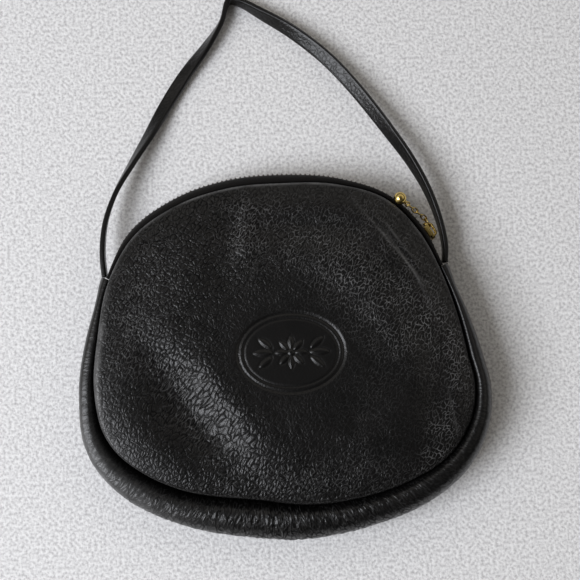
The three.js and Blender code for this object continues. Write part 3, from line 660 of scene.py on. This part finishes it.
# %% Section of the swelling edge
SWELL_POWER = 2.2
SQUARE_BEARING, SQUARE_SPREAD, SQUARE_POWER, SQUARE_LEAN = 200, 28, 2.6, 0.1  # where the edge is square


def heights(bearing):
    """Top and middle height of the swelling edge."""
    top = front_height(polar(bearing, seam_at(bearing))[1]) - drop_at(bearing)
    return top, (top + BACK_CREST) / 2


def squareness(bearing):
    """How square the edge's section is: 2 is round, and more is squarer."""
    return SWELL_POWER + SQUARE_POWER * towards(bearing, SQUARE_BEARING, SQUARE_SPREAD)


def crest_run(bearing, inset, steps, side):
    """The roll beside one seam, from the seam allowance up to the crest: front 1, back -1."""
    seam, crest = seam_at(bearing), crest_at(bearing)
    wide = crest if side > 0 else np.maximum(BACK_SHARE * crest, LEATHER)
    fall = crest * GROOVE_STRETCH if side > 0 else wide
    centre = heights(bearing)[0] - fall if side > 0 else BACK_CREST + fall
    turn = np.radians(np.linspace(0, 90, steps + 1)[:-1])[:, None]
    out = np.vstack([seam + GAP + inset, seam + GAP + wide - (wide - inset) * np.cos(turn)])
    up = np.vstack([centre - side * SEAM_LAP, centre + side * (fall - inset) * np.sin(turn)])
    return np.stack([out, up], -1)


def section(bearing, swell, inset, turns, crest_steps, sides=(1, -1)):
    """Points (distance, height) round the edge at each bearing, from the front seam to the back."""
    start = seam_at(bearing) + GAP + crest_at(bearing)
    top, middle = heights(bearing)
    angle, square = np.radians(turns), squareness(bearing)
    beyond = np.abs(np.cos(angle)) ** (2 / square)
    rise = np.sign(np.sin(angle)) * np.abs(np.sin(angle)) ** (2 / square)
    lean = SQUARE_LEAN * towards(bearing, SQUARE_BEARING, SQUARE_SPREAD) * beyond * (rise > 0)
    out = start + (swell - GAP - crest_at(bearing) - inset) * beyond
    up = middle + (top - middle - inset) * rise * (1 - lean)
    runs = [crest_run(bearing, inset, crest_steps, side) for side in sides]
    closing = [run[::-1] for run in runs[1:]]
    return np.concatenate([runs[0], np.stack([out, up], -1), *closing]).transpose(1, 0, 2)


def placed(bearing, cut):
    """Sections set round the bag at their bearings."""
    x, y = polar(bearing[:, None], cut[..., 0])
    return np.stack([x, y, cut[..., 1]], -1)


# %% Gusset skin with its gathers
ZIP_RIGHT, ZIP_LEFT = 29.0, 154.6
END_FLARE, END_FLARE_REACH = 2.6, 9.0
BOTTOM, BOTTOM_SPREAD = 264, 58
GATHER, GATHER_LONG, GATHER_TALL, GATHER_REST, GATHER_SEED = 1.6, 8, 0.36, 0.02, 1
SAG, SAG_LONG, SAG_TALL, SAG_SEED = 16, 20, 0.2, 2
SEAM_HOLD = 4  # the seam holds the leather smooth this far out


def unit(vectors):
    """The same directions, each one long."""
    return vectors / np.maximum(np.linalg.norm(vectors, axis=-1, keepdims=True), TINY)


def walked(grid):
    """Distance along each row of a grid from its first point."""
    return np.cumsum(np.linalg.norm(np.diff(grid, axis=1, prepend=grid[:, :1]), axis=-1), axis=1)


margin = math.degrees(GAP / seam_at(ZIP_LEFT))
band = np.linspace(ZIP_LEFT + margin, 360 + ZIP_RIGHT - margin, 541)
from_end = np.radians(np.minimum(band - ZIP_LEFT, 360 + ZIP_RIGHT - band)) * seam_at(band)
swell = swell_at(band) + END_FLARE * bell(from_end, END_FLARE_REACH)
skin = placed(band, section(band, swell, 0, np.linspace(90, -90, 57)[:, None], crest_steps=9))
lining = placed(band, section(band, swell, LEATHER, np.linspace(90, -90, 15)[:, None], crest_steps=2))

crest_line = np.stack(polar(band, seam_at(band) + swell))
around_band = walked(skin)
walk = np.cumsum(np.hypot(*np.gradient(crest_line, axis=1)))[:, None] + np.zeros_like(around_band)
bottom = bell(band - BOTTOM, BOTTOM_SPREAD)[:, None]
to_back = around_band[:, -1:] - around_band
free = np.clip(around_band / SEAM_HOLD - 1, 0, 1) * np.clip(to_back / SEAM_HOLD - 1, 0, 1)
gathers = ripple(walk / GATHER, around_band / GATHER_LONG, GATHER_SEED)
gathers = gathers * (GATHER_REST + GATHER_TALL * bottom)
gathers += SAG_TALL * ripple(walk / SAG, around_band / SAG_LONG, SAG_SEED)
outward = unit(np.cross(np.gradient(skin, axis=1), np.gradient(skin, axis=0)))
skin = skin + outward * (gathers * free)[..., None]
print(f"gusset {walk.max():.0f} mm long, {around_band[:, -1].max():.0f} mm wide at most")

# %% Marks on the gusset
WORN_AND_LIT_BEARING, WORN_AND_LIT_SPREAD, WORN_AND_LIT_PLACE, WORN_AND_LIT_WIDTH = 197, 30, 0.43, 0.13  # the shoulder rubs at the left, and the grey there also paints a highlight
WORN_AND_LIT_LONG, WORN_AND_LIT_WIDE, WORN_AND_LIT_SEED = 7, 3, 6  # patches of the grey band
BAND_SHRINK = 0.55  # tumbling shrank the band across, so its grain is drawn out
SIDE_GRAIN, BOTTOM_GRAIN, SIDE_WRINKLES, BOTTOM_WRINKLES = 0.3, 1.0, 0.04, 0.16


def with_lining(marks):
    """Marks of the skin, with none on the lining side."""
    return np.concatenate([marks + np.zeros_like(walk), np.zeros(lining.shape[:2])], axis=1).ravel()


# a grey band on the window side: wear, and a painted highlight
from_worn_and_lit = around_band / around_band[:, -1:] - WORN_AND_LIT_PLACE
worn_and_lit_side = towards(band, WORN_AND_LIT_BEARING, WORN_AND_LIT_SPREAD)[:, None] * bell(from_worn_and_lit, WORN_AND_LIT_WIDTH)
worn_and_lit_side *= patchily(walk / WORN_AND_LIT_LONG, around_band / WORN_AND_LIT_WIDE, WORN_AND_LIT_SEED, mean=0.8, swing=0.5, least=0.3)
gusset_hide = [with_lining(walk + GUSSET_CUT), with_lining(around_band * BAND_SHRINK), with_lining(0)]
make_piece("gusset_skin", swept(np.concatenate([skin, lining[:, ::-1]], axis=1)), pebbled_leather,
           "gusset", "black_leather", hide_place=np.stack(gusset_hide, -1),
           grain_depth=with_lining(SIDE_GRAIN + BOTTOM_GRAIN * bottom), rubbed=with_lining(worn_and_lit_side),
           wrinkled=with_lining(SIDE_WRINKLES + BOTTOM_WRINKLES * bottom))

# %% [markdown]
# ## Zip
#
# The zip closes the arched top between the two panels. Its tapes are woven polyester, which is dull
# and nearly black; the tops of the yarns are painted a little lighter as a highlight, and a faint
# sheen shows at the edges. An image of cloth would do, but two crossed waves give ribs and threads at
# their real spacing.

# %% Woven tape finish
RIB = 0.8  # from rib to rib
WEAVE_TALL = 0.15
woven_tape, tape_tree, tape_shader = new_finish("woven_polyester_tape")
cloth_place = add(tape_tree, "Attribute", (), "Vector", attribute_name="hide_place")
rib_waves = {"Vector": cloth_place, "Scale": 1 / RIB / 2, "Distortion": 0.6, "Detail": 1}
ribs = add(tape_tree, "TexWave", rib_waves, "Fac", bands_direction="X")
thread_waves = {"Vector": cloth_place, "Scale": 1 / RIB, "Distortion": 0.4}
threads = add(tape_tree, "TexWave", thread_waves, "Fac", bands_direction="Y")
weave = add(tape_tree, "Math", {0: ribs, 1: threads}, "Value", operation="MULTIPLY")
# the weave's tops are painted lighter, a painted highlight on the yarns
yarn_with_painted_highlight = add(tape_tree, "Mix", {"Factor": weave, "A": linear("#0d0b0a"), "B": linear("#1c1917")},
           "Result", data_type="RGBA")
woven = add(tape_tree, "Bump", {"Height": weave, "Strength": 0.8, "Distance": WEAVE_TALL * MM}, "Normal")
feed(tape_shader, {"Base Color": yarn_with_painted_highlight, "Normal": woven, "Roughness": 0.85, "Sheen Weight": 0.04,
                   "Specular IOR Level": 0.2})
print("tape:", len(tape_tree.nodes), "nodes")

# %% Tapes
TAPE, TEETH_WIDTH, TEETH_HEIGHT, TOOTH_PITCH = 1.0, 5.0, 2.6, 2.0
ARCH_RADIUS = 80  # turns bearings along the arch into millimetres of tape
arch = np.linspace(ZIP_RIGHT, ZIP_LEFT, 361)


def tape_side(side, inset, count, crest_steps):
    """One face of a tape, from its seam to the edge beside the teeth."""
    top, middle = heights(arch)
    edge = (TEETH_WIDTH / 2 + GAP) / (top - middle - inset)
    last = np.degrees(np.arcsin(edge ** (squareness(arch) / 2)))
    turns = 90 + (last - 90) * np.linspace(0, 1, count + 1)[:, None]
    return placed(arch, section(arch, swell_at(arch), inset, side * turns, crest_steps, (side,)))


for name, side in (("zip_tape_front", 1), ("zip_tape_back", -1)):
    tape_skin = tape_side(side, 0, count=24, crest_steps=6)
    tape_under = tape_side(side, TAPE, count=6, crest_steps=2)
    tape_loops = np.concatenate([tape_skin, tape_under[:, ::-1]], axis=1)
    cloth = np.zeros_like(tape_loops)
    cloth[..., 0] = np.radians(arch)[:, None] * ARCH_RADIUS
    cloth[:, :tape_skin.shape[1], 1] = walked(tape_skin)
    tape_shell = swept(tape_loops) if side > 0 else inside_out(swept(tape_loops))
    make_piece(name + "_cloth", tape_shell, woven_tape, name, "zip_tape", hide_place=cloth.reshape(-1, 3))

# %% [markdown]
# The teeth are the turns of two nylon coils that hook into each other. Drawn nylon is smooth and a
# little translucent, which gives a dark brown with small soft highlights. Every turn is made as a
# short rounded bar with a fuller head past the middle line, the near and the far coil half a pitch
# apart. A single textured band would be lighter, but its edge would not show the turns.

# %% Coil finish
HAZE = 10 / 9  # length of the uneven spots


def speckled(name, length, detail, dark, light, low=0.0, high=1.0):
    """A finish between two tones in spots of a given length: material, tree, shader and spots."""
    material, tree, shader = new_finish(name)
    place = add(tree, "TexCoord", (), "Object")
    spots = add(tree, "TexNoise", {"Vector": place, "Scale": 1 / (length * MM), "Detail": detail}, "Fac")
    share = add(tree, "MapRange", {"Value": spots, "From Min": low, "From Max": high}, "Result")
    tone = add(tree, "Mix", {"Factor": share, "A": linear(dark), "B": linear(light)}, "Result",
               data_type="RGBA")
    feed(shader, {"Base Color": tone})
    return material, tree, shader, spots


nylon_coil, coil_tree, coil_shader, haze = speckled(
    "drawn_nylon_coil", HAZE, detail=3, dark="#2a1f19", light="#4a392e")
gloss = add(coil_tree, "MapRange", {"Value": haze, "To Min": 0.32, "To Max": 0.5}, "Result")
feed(coil_shader, {"Roughness": gloss})
print("coil:", len(coil_tree.nodes), "nodes")

# %% Coil turns
FAR_COIL = 0.68  # height of the far coil, of the near one: the zip leans back a little
TURN_WIDE, TURN_MIDDLE, TURN_REACH = 0.56, 0.85, 1.6  # half width, middle and half length of a turn
BLUNT, TURN_TIP = 5, 0.02  # how square its ends are, and what is left of it there
HEAD_FULLER, HEAD_PLACE, HEAD_SPREAD = 0.16, 0.62, 0.3


def full_turn(count):
    """Angles evenly round a circle."""
    return np.linspace(0, 2 * np.pi, count, endpoint=False)


def zip_frame(at):
    """Place on the zip's outermost line, and the directions along, across and out of it."""
    def line(bearing):
        return np.array([*polar(bearing, seam_at(bearing) + swell_at(bearing)), heights(bearing)[1]])
    along = unit((line(at + 0.5) - line(at - 0.5)) * (1, 1, 0))
    across = np.array([0, 0, 1.0])
    return line(at), along, across, np.cross(along, across)


def coil_turn(at, side, sides=10, rings=9):
    """A rounded bar from the tape's edge over the middle line, fuller at its head."""
    origin, along, across, out = zip_frame(at)
    ends, angle = np.linspace(-1, 1, rings), full_turn(sides)
    round_off = np.sqrt(np.clip(1 - np.abs(ends) ** BLUNT, TURN_TIP, 1))
    fuller = 1 + HEAD_FULLER * bell(ends - HEAD_PLACE, HEAD_SPREAD)
    wide = TURN_WIDE * (round_off * fuller)[:, None] * np.cos(angle)
    tall = TEETH_HEIGHT / 2 * (1 if side > 0 else FAR_COIL)
    high = tall * round_off[:, None] * np.sin(angle) - TAPE / 2
    reach = side * (TURN_MIDDLE - TURN_REACH * ends)[:, None] + np.zeros(sides)
    points = origin + wide[..., None] * along + high[..., None] * out + reach[..., None] * across
    return swept(points) if side < 0 else inside_out(swept(points))


fine_arch = np.linspace(ZIP_RIGHT, ZIP_LEFT, 2000)
zip_x, zip_y = polar(fine_arch, seam_at(fine_arch) + swell_at(fine_arch))
zip_walk = np.append(0, np.cumsum(np.hypot(np.diff(zip_x), np.diff(zip_y))))
turn_places = np.arange(TOOTH_PITCH / 4, zip_walk[-1] - TOOTH_PITCH / 4, TOOTH_PITCH / 2)
turn_bearings = np.interp(turn_places, zip_walk, fine_arch)
coil = together(*[coil_turn(at, 1 if i % 2 else -1) for i, at in enumerate(turn_bearings)])
make_piece("zip_coils", coil, nylon_coil, "zip_teeth", "zip_teeth")

# %% [markdown]
# ## Slider and chain pull
#
# The slider is cast, then plated and polished to a warm brass, which mirrors the room and darkens
# where it is handled. Cast edges are never sharp, so the plate is a slab with rounded rims and the
# bridge is a bent bar. Bevelled boxes would do as well, but loops of points keep the meshes light.

# %% Polished brass
WEAR, WEAR_TALL = 10 / 7, 0.05  # length and height of the fine wear
polished_brass, brass_tree, brass_shader, wear = speckled(
    "polished_brass_plate", WEAR, detail=4, dark="#cfae5c", light="#eed890")
handled = add(brass_tree, "MapRange", {"Value": wear, "To Min": 0.1, "To Max": 0.26}, "Result")
scratched = add(brass_tree, "Bump", {"Height": wear, "Strength": 0.25, "Distance": WEAR_TALL * MM},
                "Normal")
feed(brass_shader, {"Roughness": handled, "Normal": scratched, "Metallic": 1})
print("brass:", len(brass_tree.nodes), "nodes")

# %% Plate and bar
NUDGE = 1e-3  # settles which corner an angle between two belongs to


def slab(length, width, low, high, corner, rim, steps=6):
    """A rounded plate with rounded rims, seen from above a rectangle with round corners."""
    angle = full_turn(32)
    turn = np.linspace(0, np.pi / 2, steps)
    inset = np.concatenate([rim * (1 - np.sin(turn)), rim * (1 - np.cos(turn))])
    level = np.concatenate([low + rim * (1 - np.cos(turn)), high - rim * (1 - np.sin(turn))])
    corner_x = np.sign(np.cos(angle + NUDGE)) * (length / 2 - corner)
    corner_y = np.sign(np.sin(angle + NUDGE)) * (width / 2 - corner)
    loops = []
    for i, z in zip(inset, level):
        x = corner_x + (corner - i) * np.cos(angle)
        y = corner_y + (corner - i) * np.sin(angle)
        loops.append(np.stack([x, y, np.full_like(angle, z)], -1))
    return inside_out(swept(np.array(loops)))


def bent_bar(path, wide, thick, sides=16, square=0.6):
    """A bar with a rounded section along a path in the XZ plane."""
    up = np.cross(unit(np.gradient(path, axis=0)), (0, 1, 0))
    c, s = np.cos(full_turn(sides)), np.sin(full_turn(sides))
    y = wide / 2 * np.sign(c) * np.abs(c) ** square
    h = thick / 2 * np.sign(s) * np.abs(s) ** square
    return swept(path[:, None] + y[None, :, None] * np.array([0, 1, 0]) + h[None, :, None] * up[:, None])


# %% Slider
SLIDER_BEARING = 40.2
SLIDER_LENGTH, SLIDER_WIDTH, SLIDER_PLATE, SLIDER_CORNER, SLIDER_RIM = 8.0, 7.0, 1.4, 1.6, 0.3
BRIDGE_LENGTH, BRIDGE_CLEAR, BRIDGE_BAR, BRIDGE_WIDTH, BRIDGE_BEND = 6.4, 1.2, 1.1, 2.0, 1.3
LIP, LIP_DROP = 0.7, 0.7

bridge_top = SLIDER_PLATE + BRIDGE_CLEAR + BRIDGE_BAR / 2
half_bridge = (BRIDGE_LENGTH - BRIDGE_BAR) / 2
quarter = np.linspace(0, np.pi / 2, 9)
left = np.stack([-half_bridge + BRIDGE_BEND * (1 - np.cos(quarter)), 0 * quarter,
                 bridge_top - BRIDGE_BEND * (1 - np.sin(quarter))], -1)
foot = np.array([[-half_bridge, 0, SLIDER_PLATE / 2]])
bridge_path = np.concatenate([foot, left, (left * (-1, 1, 1))[::-1], foot * (-1, 1, 1)])
lip_points, lip_faces = slab(SLIDER_LENGTH - 2 * SLIDER_CORNER, LIP, -LIP_DROP, SLIDER_PLATE / 2,
                             corner=LIP / 2.1, rim=LIP / 5)
lips = [(lip_points + (0, side * (SLIDER_WIDTH - LIP) / 2, 0), lip_faces) for side in (-1, 1)]
plate = slab(SLIDER_LENGTH, SLIDER_WIDTH, 0, SLIDER_PLATE, SLIDER_CORNER, SLIDER_RIM)
slider_shell = together(plate, bent_bar(bridge_path, BRIDGE_WIDTH, BRIDGE_BAR), *lips)
origin, along, across, out = zip_frame(SLIDER_BEARING)
seat = origin + out * (TEETH_HEIGHT / 2 - TAPE / 2 + GAP)
slider = seat + slider_shell[0] @ np.stack([along, across, out]), slider_shell[1]
make_piece("slider_cast", slider, polished_brass, "zip_slider", "brass")

# %% [markdown]
# The pull is a ring, four links and a hollow ball on a small eye. Each link is turned a quarter
# round from the one before and passes through it, as on a real chain, so every link is an oval of
# round wire in its own place, worked out from the slider towards the ball.

# %% Wire, turning and hanging
WIRE, RING_LENGTH, RING_WIDTH, RING_HOLD = 0.6, 5.4, 4.4, 1.5
LINK_COUNT, LINK_LENGTH, LINK_WIDTH, LINK_SLACK = 4, 4.4, 2.4, 0.25
BALL_RADIUS, NECK_RADIUS, EYE_RADIUS, POLE = 2.7, 0.95, 0.95, 0.01
NECK_FROM_EYE, BALL_FROM_NECK = 1.6, 3.2
BALL_BEARING, BALL_OUT, BALL_HEIGHT = 55.0, 3.2, 24.0


def oval_wire(length, width, steps=44, sides=14):
    """A closed oval of round wire lying in the XY plane."""
    angle, roll = full_turn(steps)[:, None], full_turn(sides)
    reach_x, reach_y = (length - WIRE) / 2, (width - WIRE) / 2
    out_x, out_y = reach_y * np.cos(angle), reach_x * np.sin(angle)
    swing = WIRE / 2 * np.cos(roll) / np.hypot(out_x, out_y)
    x = reach_x * np.cos(angle) + out_x * swing
    y = reach_y * np.sin(angle) + out_y * swing
    z = np.broadcast_to(WIRE / 2 * np.sin(roll), x.shape)
    return swept(np.stack([x, y, z], -1), closes=True)


def round_ball(middle, radius, sides=40, steps=25):
    """A ball on the X axis, turned as on a lathe."""
    angle, spin = full_turn(sides), np.linspace(0, np.pi, steps)[:, None]
    around_axis = np.maximum(radius * np.sin(spin), POLE)
    x = middle - radius * np.cos(spin) + 0 * angle
    return swept(np.stack([x, around_axis * np.cos(angle), around_axis * np.sin(angle)], -1))


def hung(shell, direction, facing, middle):
    """A shell set in the bag with X along a direction and Z turned towards a facing."""
    side = unit(np.cross(facing, direction))
    face = np.cross(direction, side)
    return (middle + shell[0] @ np.stack([direction, side, face]), shell[1]), side


# %% Chain and ball
leg = seat + along * half_bridge + out * (SLIDER_PLATE + BRIDGE_CLEAR / 2)
ball_middle = np.array([*polar(BALL_BEARING, seam_at(BALL_BEARING) + BALL_OUT), BALL_HEIGHT])
way = ball_middle - leg
ring_way = unit(way - out * (way @ out))
ring_middle = leg + ring_way * ((RING_LENGTH - WIRE) / 2 - RING_HOLD)
ring_shell, facing = hung(oval_wire(RING_LENGTH, RING_WIDTH), ring_way, out, ring_middle)
make_piece("pull_ring_wire", ring_shell, polished_brass, "pull_ring", "brass")

ring_end = ring_middle + ring_way * (RING_LENGTH / 2 - WIRE)
pull = unit(ball_middle - ring_end)
hold = WIRE + LINK_SLACK
reach = LINK_LENGTH / 2 - hold
for number in range(1, LINK_COUNT + 1):
    link, facing = hung(oval_wire(LINK_LENGTH, LINK_WIDTH), pull, facing, ring_end + pull * reach)
    make_piece(f"pull_link_{number}_wire", link, polished_brass, f"pull_link_{number}", "brass")
    reach += LINK_LENGTH - WIRE - hold

reach -= LINK_LENGTH / 2 - EYE_RADIUS - WIRE / 2
eye = oval_wire(2 * EYE_RADIUS + WIRE, 2 * EYE_RADIUS + WIRE)
neck = round_ball(NECK_FROM_EYE, NECK_RADIUS)
bead = round_ball(NECK_FROM_EYE + BALL_FROM_NECK, BALL_RADIUS)
ball, _ = hung(together(eye, neck, bead), pull, facing, ring_end + pull * reach)
make_piece("pull_ball_bead", ball, polished_brass, "pull_ball", "brass")

# %% [markdown]
# ## Strap
#
# The strap is a narrow strip of the same leather. It leaves the gusset on edge, twists flat where
# it lies on the table and comes back on edge, so its lean is part of its table. A curve object with
# a bevel could carry it, but sections set along the path keep the twist under control.

# %% Strap path
LEAN_SMOOTHING = 15  # steps either side over which the lean is evened out
# x, y, z of the middle, and lean of the outer face: 0 faces up, 90 away from the loop
STRAP = np.array([
    (-76.6, 36.8, 10.8, 90), (-77.4, 47, 10.7, 88), (-76.2, 60, 10, 84), (-72, 73, 8.6, 78),
    (-64.8, 86.5, 6.4, 66), (-57, 100, 4.3, 45), (-49.5, 113.5, 2.4, 18), (-41, 126.5, 2.6, 22),
    (-31, 139.5, 3.4, 55), (-24.6, 149.5, 3.5, 78), (-21, 159, 3.5, 90), (-16.5, 158.4, 3.5, 94),
    (-6.5, 152.5, 3.9, 116), (6.5, 144, 4.6, 138), (21, 131.5, 5.6, 150), (33, 117.5, 6.8, 148),
    (47.5, 97, 8.5, 130), (56.5, 83, 9.5, 114), (63, 70, 10.2, 102), (67.4, 56.7, 10.6, 95),
    (69.2, 46, 10.8, 92), (68.9, 38.8, 10.8, 90),
])


def through(rows, steps):
    """Points, directions and leans of a smooth curve through rows, with even steps between."""
    places = rows[:, :3]
    knots = np.vstack([2 * places[0] - places[1], places, 2 * places[-1] - places[-2]])
    points, ways, leans = [], [], []
    for i in range(len(places) - 1):
        p0, p1, p2, p3 = knots[i:i + 4]
        d0, d1, d2 = np.sqrt(np.linalg.norm(np.diff(knots[i:i + 4], axis=0), axis=1))
        m1 = d1 * ((p1 - p0) / d0 - (p2 - p0) / (d0 + d1) + (p2 - p1) / d1)
        m2 = d1 * ((p2 - p1) / d1 - (p3 - p1) / (d1 + d2) + (p3 - p2) / d2)
        last = i == len(places) - 2
        t = np.linspace(0, 1, steps + 1)[:steps + 1 if last else steps, None]
        place, way = curve(t, p1, m1, p2, m2)
        points.append(place)
        ways.append(way)
        leans.append(rows[i, 3] + t[:, 0] * (rows[i + 1, 3] - rows[i, 3]))
    return [np.concatenate(part) for part in (points, ways, leans)]


strap_middle, strap_way, strap_lean = through(STRAP, steps=22)
strap_way = unit(strap_way)
window = np.ones(2 * LEAN_SMOOTHING + 1) / (2 * LEAN_SMOOTHING + 1)
strap_lean = np.convolve(np.pad(strap_lean, LEAN_SMOOTHING, mode="edge"), window, mode="valid")
strap_lean = np.radians(strap_lean)[:, None]
beside = unit(np.cross((0, 0, 1), strap_way))
strap_face = np.cross(strap_way, beside) * np.cos(strap_lean) + beside * np.sin(strap_lean)
strap_edge = np.cross(strap_way, strap_face)
strap_walk = np.append(0, np.cumsum(np.linalg.norm(np.diff(strap_middle, axis=0), axis=1)))
print(f"strap length {strap_walk[-1]:.0f} mm")

# %% Strap skin
STRAP_WIDTH, STRAP_THICKNESS, STRAP_CORNER = 6.3, 2.1, 0.7
CUT_EDGE, CUT_GRAIN, STRAP_GRAIN = 0.9, 0.1, 0.55  # the cut edges are smooth, the face is grained
BETWEEN_FACES = 20  # keeps the two faces apart on the hide
STEP_ROUND = 9  # degrees between points round a corner

angle = np.radians(np.arange(0, 360, STEP_ROUND) + STEP_ROUND / 2)
flat_x, flat_y = STRAP_WIDTH / 2 - STRAP_CORNER, STRAP_THICKNESS / 2 - STRAP_CORNER
section_x = np.sign(np.cos(angle)) * flat_x + STRAP_CORNER * np.cos(angle)
section_y = np.sign(np.sin(angle)) * flat_y + STRAP_CORNER * np.sin(angle)
fill = np.linspace(-1, 1, 9)[1:-1] * flat_x
level = np.full_like(fill, STRAP_THICKNESS / 2)
first, third = len(angle) // 4, 3 * len(angle) // 4
section_x = np.concatenate([section_x[:first], fill[::-1], section_x[first:third], fill, section_x[third:]])
section_y = np.concatenate([section_y[:first], level, section_y[first:third], -level, section_y[third:]])
strap_loops = (strap_middle[:, None] + section_x[None, :, None] * strap_edge[:, None]
               + section_y[None, :, None] * strap_face[:, None])
strap_hide = np.zeros_like(strap_loops)
strap_hide[..., 0] = strap_walk[:, None] + STRAP_CUT
strap_hide[..., 1] = section_x + BETWEEN_FACES * np.sign(section_y)
strap_grain = np.where(np.abs(section_x) > STRAP_WIDTH / 2 - CUT_EDGE, CUT_GRAIN, STRAP_GRAIN)
make_piece("strap_skin", swept(strap_loops), pebbled_leather, "strap", "black_leather",
           hide_place=strap_hide.reshape(-1, 3),
           grain_depth=np.broadcast_to(strap_grain, strap_loops.shape[:2]).ravel())

# %% [markdown]
# ## Floor, light and camera
#
# The bag lies on thick pale paper with a rough tooth, which is matt, so it takes soft shadows and
# gives no reflection. The tooth is drawn coarser than real paper so that it shows at this distance.

# %% Floor
TOOTH, TOOTH_TALL, FLOOR_SIZE = 1.3, 0.35, 6  # the floor's size is in metres
pale_paper, paper_tree, paper_shader, fibre = speckled(
    "pale_matt_paper", TOOTH, detail=2, dark="#cac9ca", light="#ffffff", low=0.28, high=0.62)
tooth = add(paper_tree, "Bump", {"Height": fibre, "Strength": 1, "Distance": TOOTH_TALL * MM}, "Normal")
feed(paper_shader, {"Normal": tooth, "Roughness": 0.9})
bpy.ops.mesh.primitive_plane_add(size=FLOOR_SIZE)
floor = bpy.context.object
floor.name = "floor"
floor.data.materials.append(pale_paper)
print("floor:", FLOOR_SIZE, "m across")

# %% [markdown]
# A large window on the left is the main light, and one soft lamp stands for it. The room does the
# rest: a pale ceiling that is brightest part of the way up, a lit wall round the window and a dark
# near side, which keeps the leather's shine from turning to fog. A studio picture wrapped round the
# scene could do this, but a few ramps are easy to tune.

# %% Window lamp
WINDOW_PLACE, WINDOW_SIZE, WINDOW_WATTS = (-0.95, -0.36, 1.05), 0.85, 17.8  # metres and watts
window_lamp = bpy.data.lights.new("window", "AREA")
window_lamp.size, window_lamp.energy = WINDOW_SIZE, WINDOW_WATTS
window_lamp.color = linear("#f5f8ff")[:3]
window_holder = bpy.data.objects.new("window", window_lamp)
window_holder.location = WINDOW_PLACE
window_holder.rotation_euler = (-Vector(WINDOW_PLACE)).to_track_quat("-Z", "Y").to_euler()
bpy.context.collection.objects.link(window_holder)
print("window:", window_lamp.energy, "W")

# %% Room
CEILING = [(0.25, 0.06), (0.55, 0.42), (0.76, 0.35), (0.9, 0.12), (0.98, 0.05)]  # how high up, and glow
WALL_WAY, WALL_START, WALL_FULL, WALL_GLOW = (-0.8, -0.33, 0.5), 0.55, 0.95, 0.34
NEAR_DARK, FAR_LIGHT, NEAR_END, FAR_START = 0.2, 1.4, -0.45, 0.1

world = bpy.data.worlds.new("grey_room")
world.use_nodes = True
room = world.node_tree
sky = add(room, "TexCoord", (), "Generated")
sky_parts = add(room, "SeparateXYZ", {"Vector": sky})
ceiling = add(room, "ValToRGB", {"Fac": sky_parts.outputs["Z"]})
ceiling.color_ramp.interpolation = "EASE"
for rise, glow in CEILING:
    ceiling.color_ramp.elements.new(rise).color = (glow, glow, glow, 1)
ceiling.color_ramp.elements.remove(ceiling.color_ramp.elements[0])
ceiling.color_ramp.elements.remove(ceiling.color_ramp.elements[-1])
facing_wall = add(room, "VectorMath", {0: sky, 1: WALL_WAY}, "Value", operation="DOT_PRODUCT")
wall = {"Value": facing_wall, "From Min": WALL_START, "From Max": WALL_FULL, "To Max": WALL_GLOW}
window_wall = add(room, "MapRange", wall, "Result", interpolation_type="SMOOTHSTEP")
depth = {"Value": sky_parts.outputs["Y"], "From Min": NEAR_END, "From Max": FAR_START,
         "To Min": NEAR_DARK, "To Max": FAR_LIGHT}
near_side = add(room, "MapRange", depth, "Result", interpolation_type="SMOOTHSTEP")
room_glow = add(room, "Math", {0: ceiling.outputs["Color"], 1: near_side, 2: window_wall}, "Value",
                operation="MULTIPLY_ADD")
feed(room.nodes["Background"], {"Color": linear("#fff9f1"), "Strength": room_glow})
bpy.context.scene.world = world
bpy.context.scene.view_settings.view_transform = "Standard"
print("room:", len(room.nodes), "nodes")

# %% [markdown]
# The camera looks almost straight down on the bag, turned a little, from less than half a metre.
# Its three directions are worked out first, because a tilt and a roll set as angles are hard to
# picture.

# %% Camera
ROLL, TILT = math.radians(1.7), math.radians(5)
AIM, DISTANCE, LENS = Vector((2.3, 27.75, 24)) * MM, 456 * MM, 68.2
up_the_bag = Vector((math.sin(ROLL), math.cos(ROLL), 0))
to_right = Vector((math.cos(ROLL), -math.sin(ROLL), 0))
look = up_the_bag * math.sin(TILT) - Vector((0, 0, 1)) * math.cos(TILT)
turn = Matrix((to_right, to_right.cross(look), -look)).transposed().to_4x4()
camera = bpy.data.objects.new("camera", bpy.data.cameras.new("camera"))
camera.data.lens = LENS
camera.matrix_world = Matrix.Translation(AIM - look * DISTANCE) @ turn
bpy.context.collection.objects.link(camera)
bpy.context.scene.camera = camera
print("camera at mm:", [round(c / MM) for c in camera.matrix_world.translation])
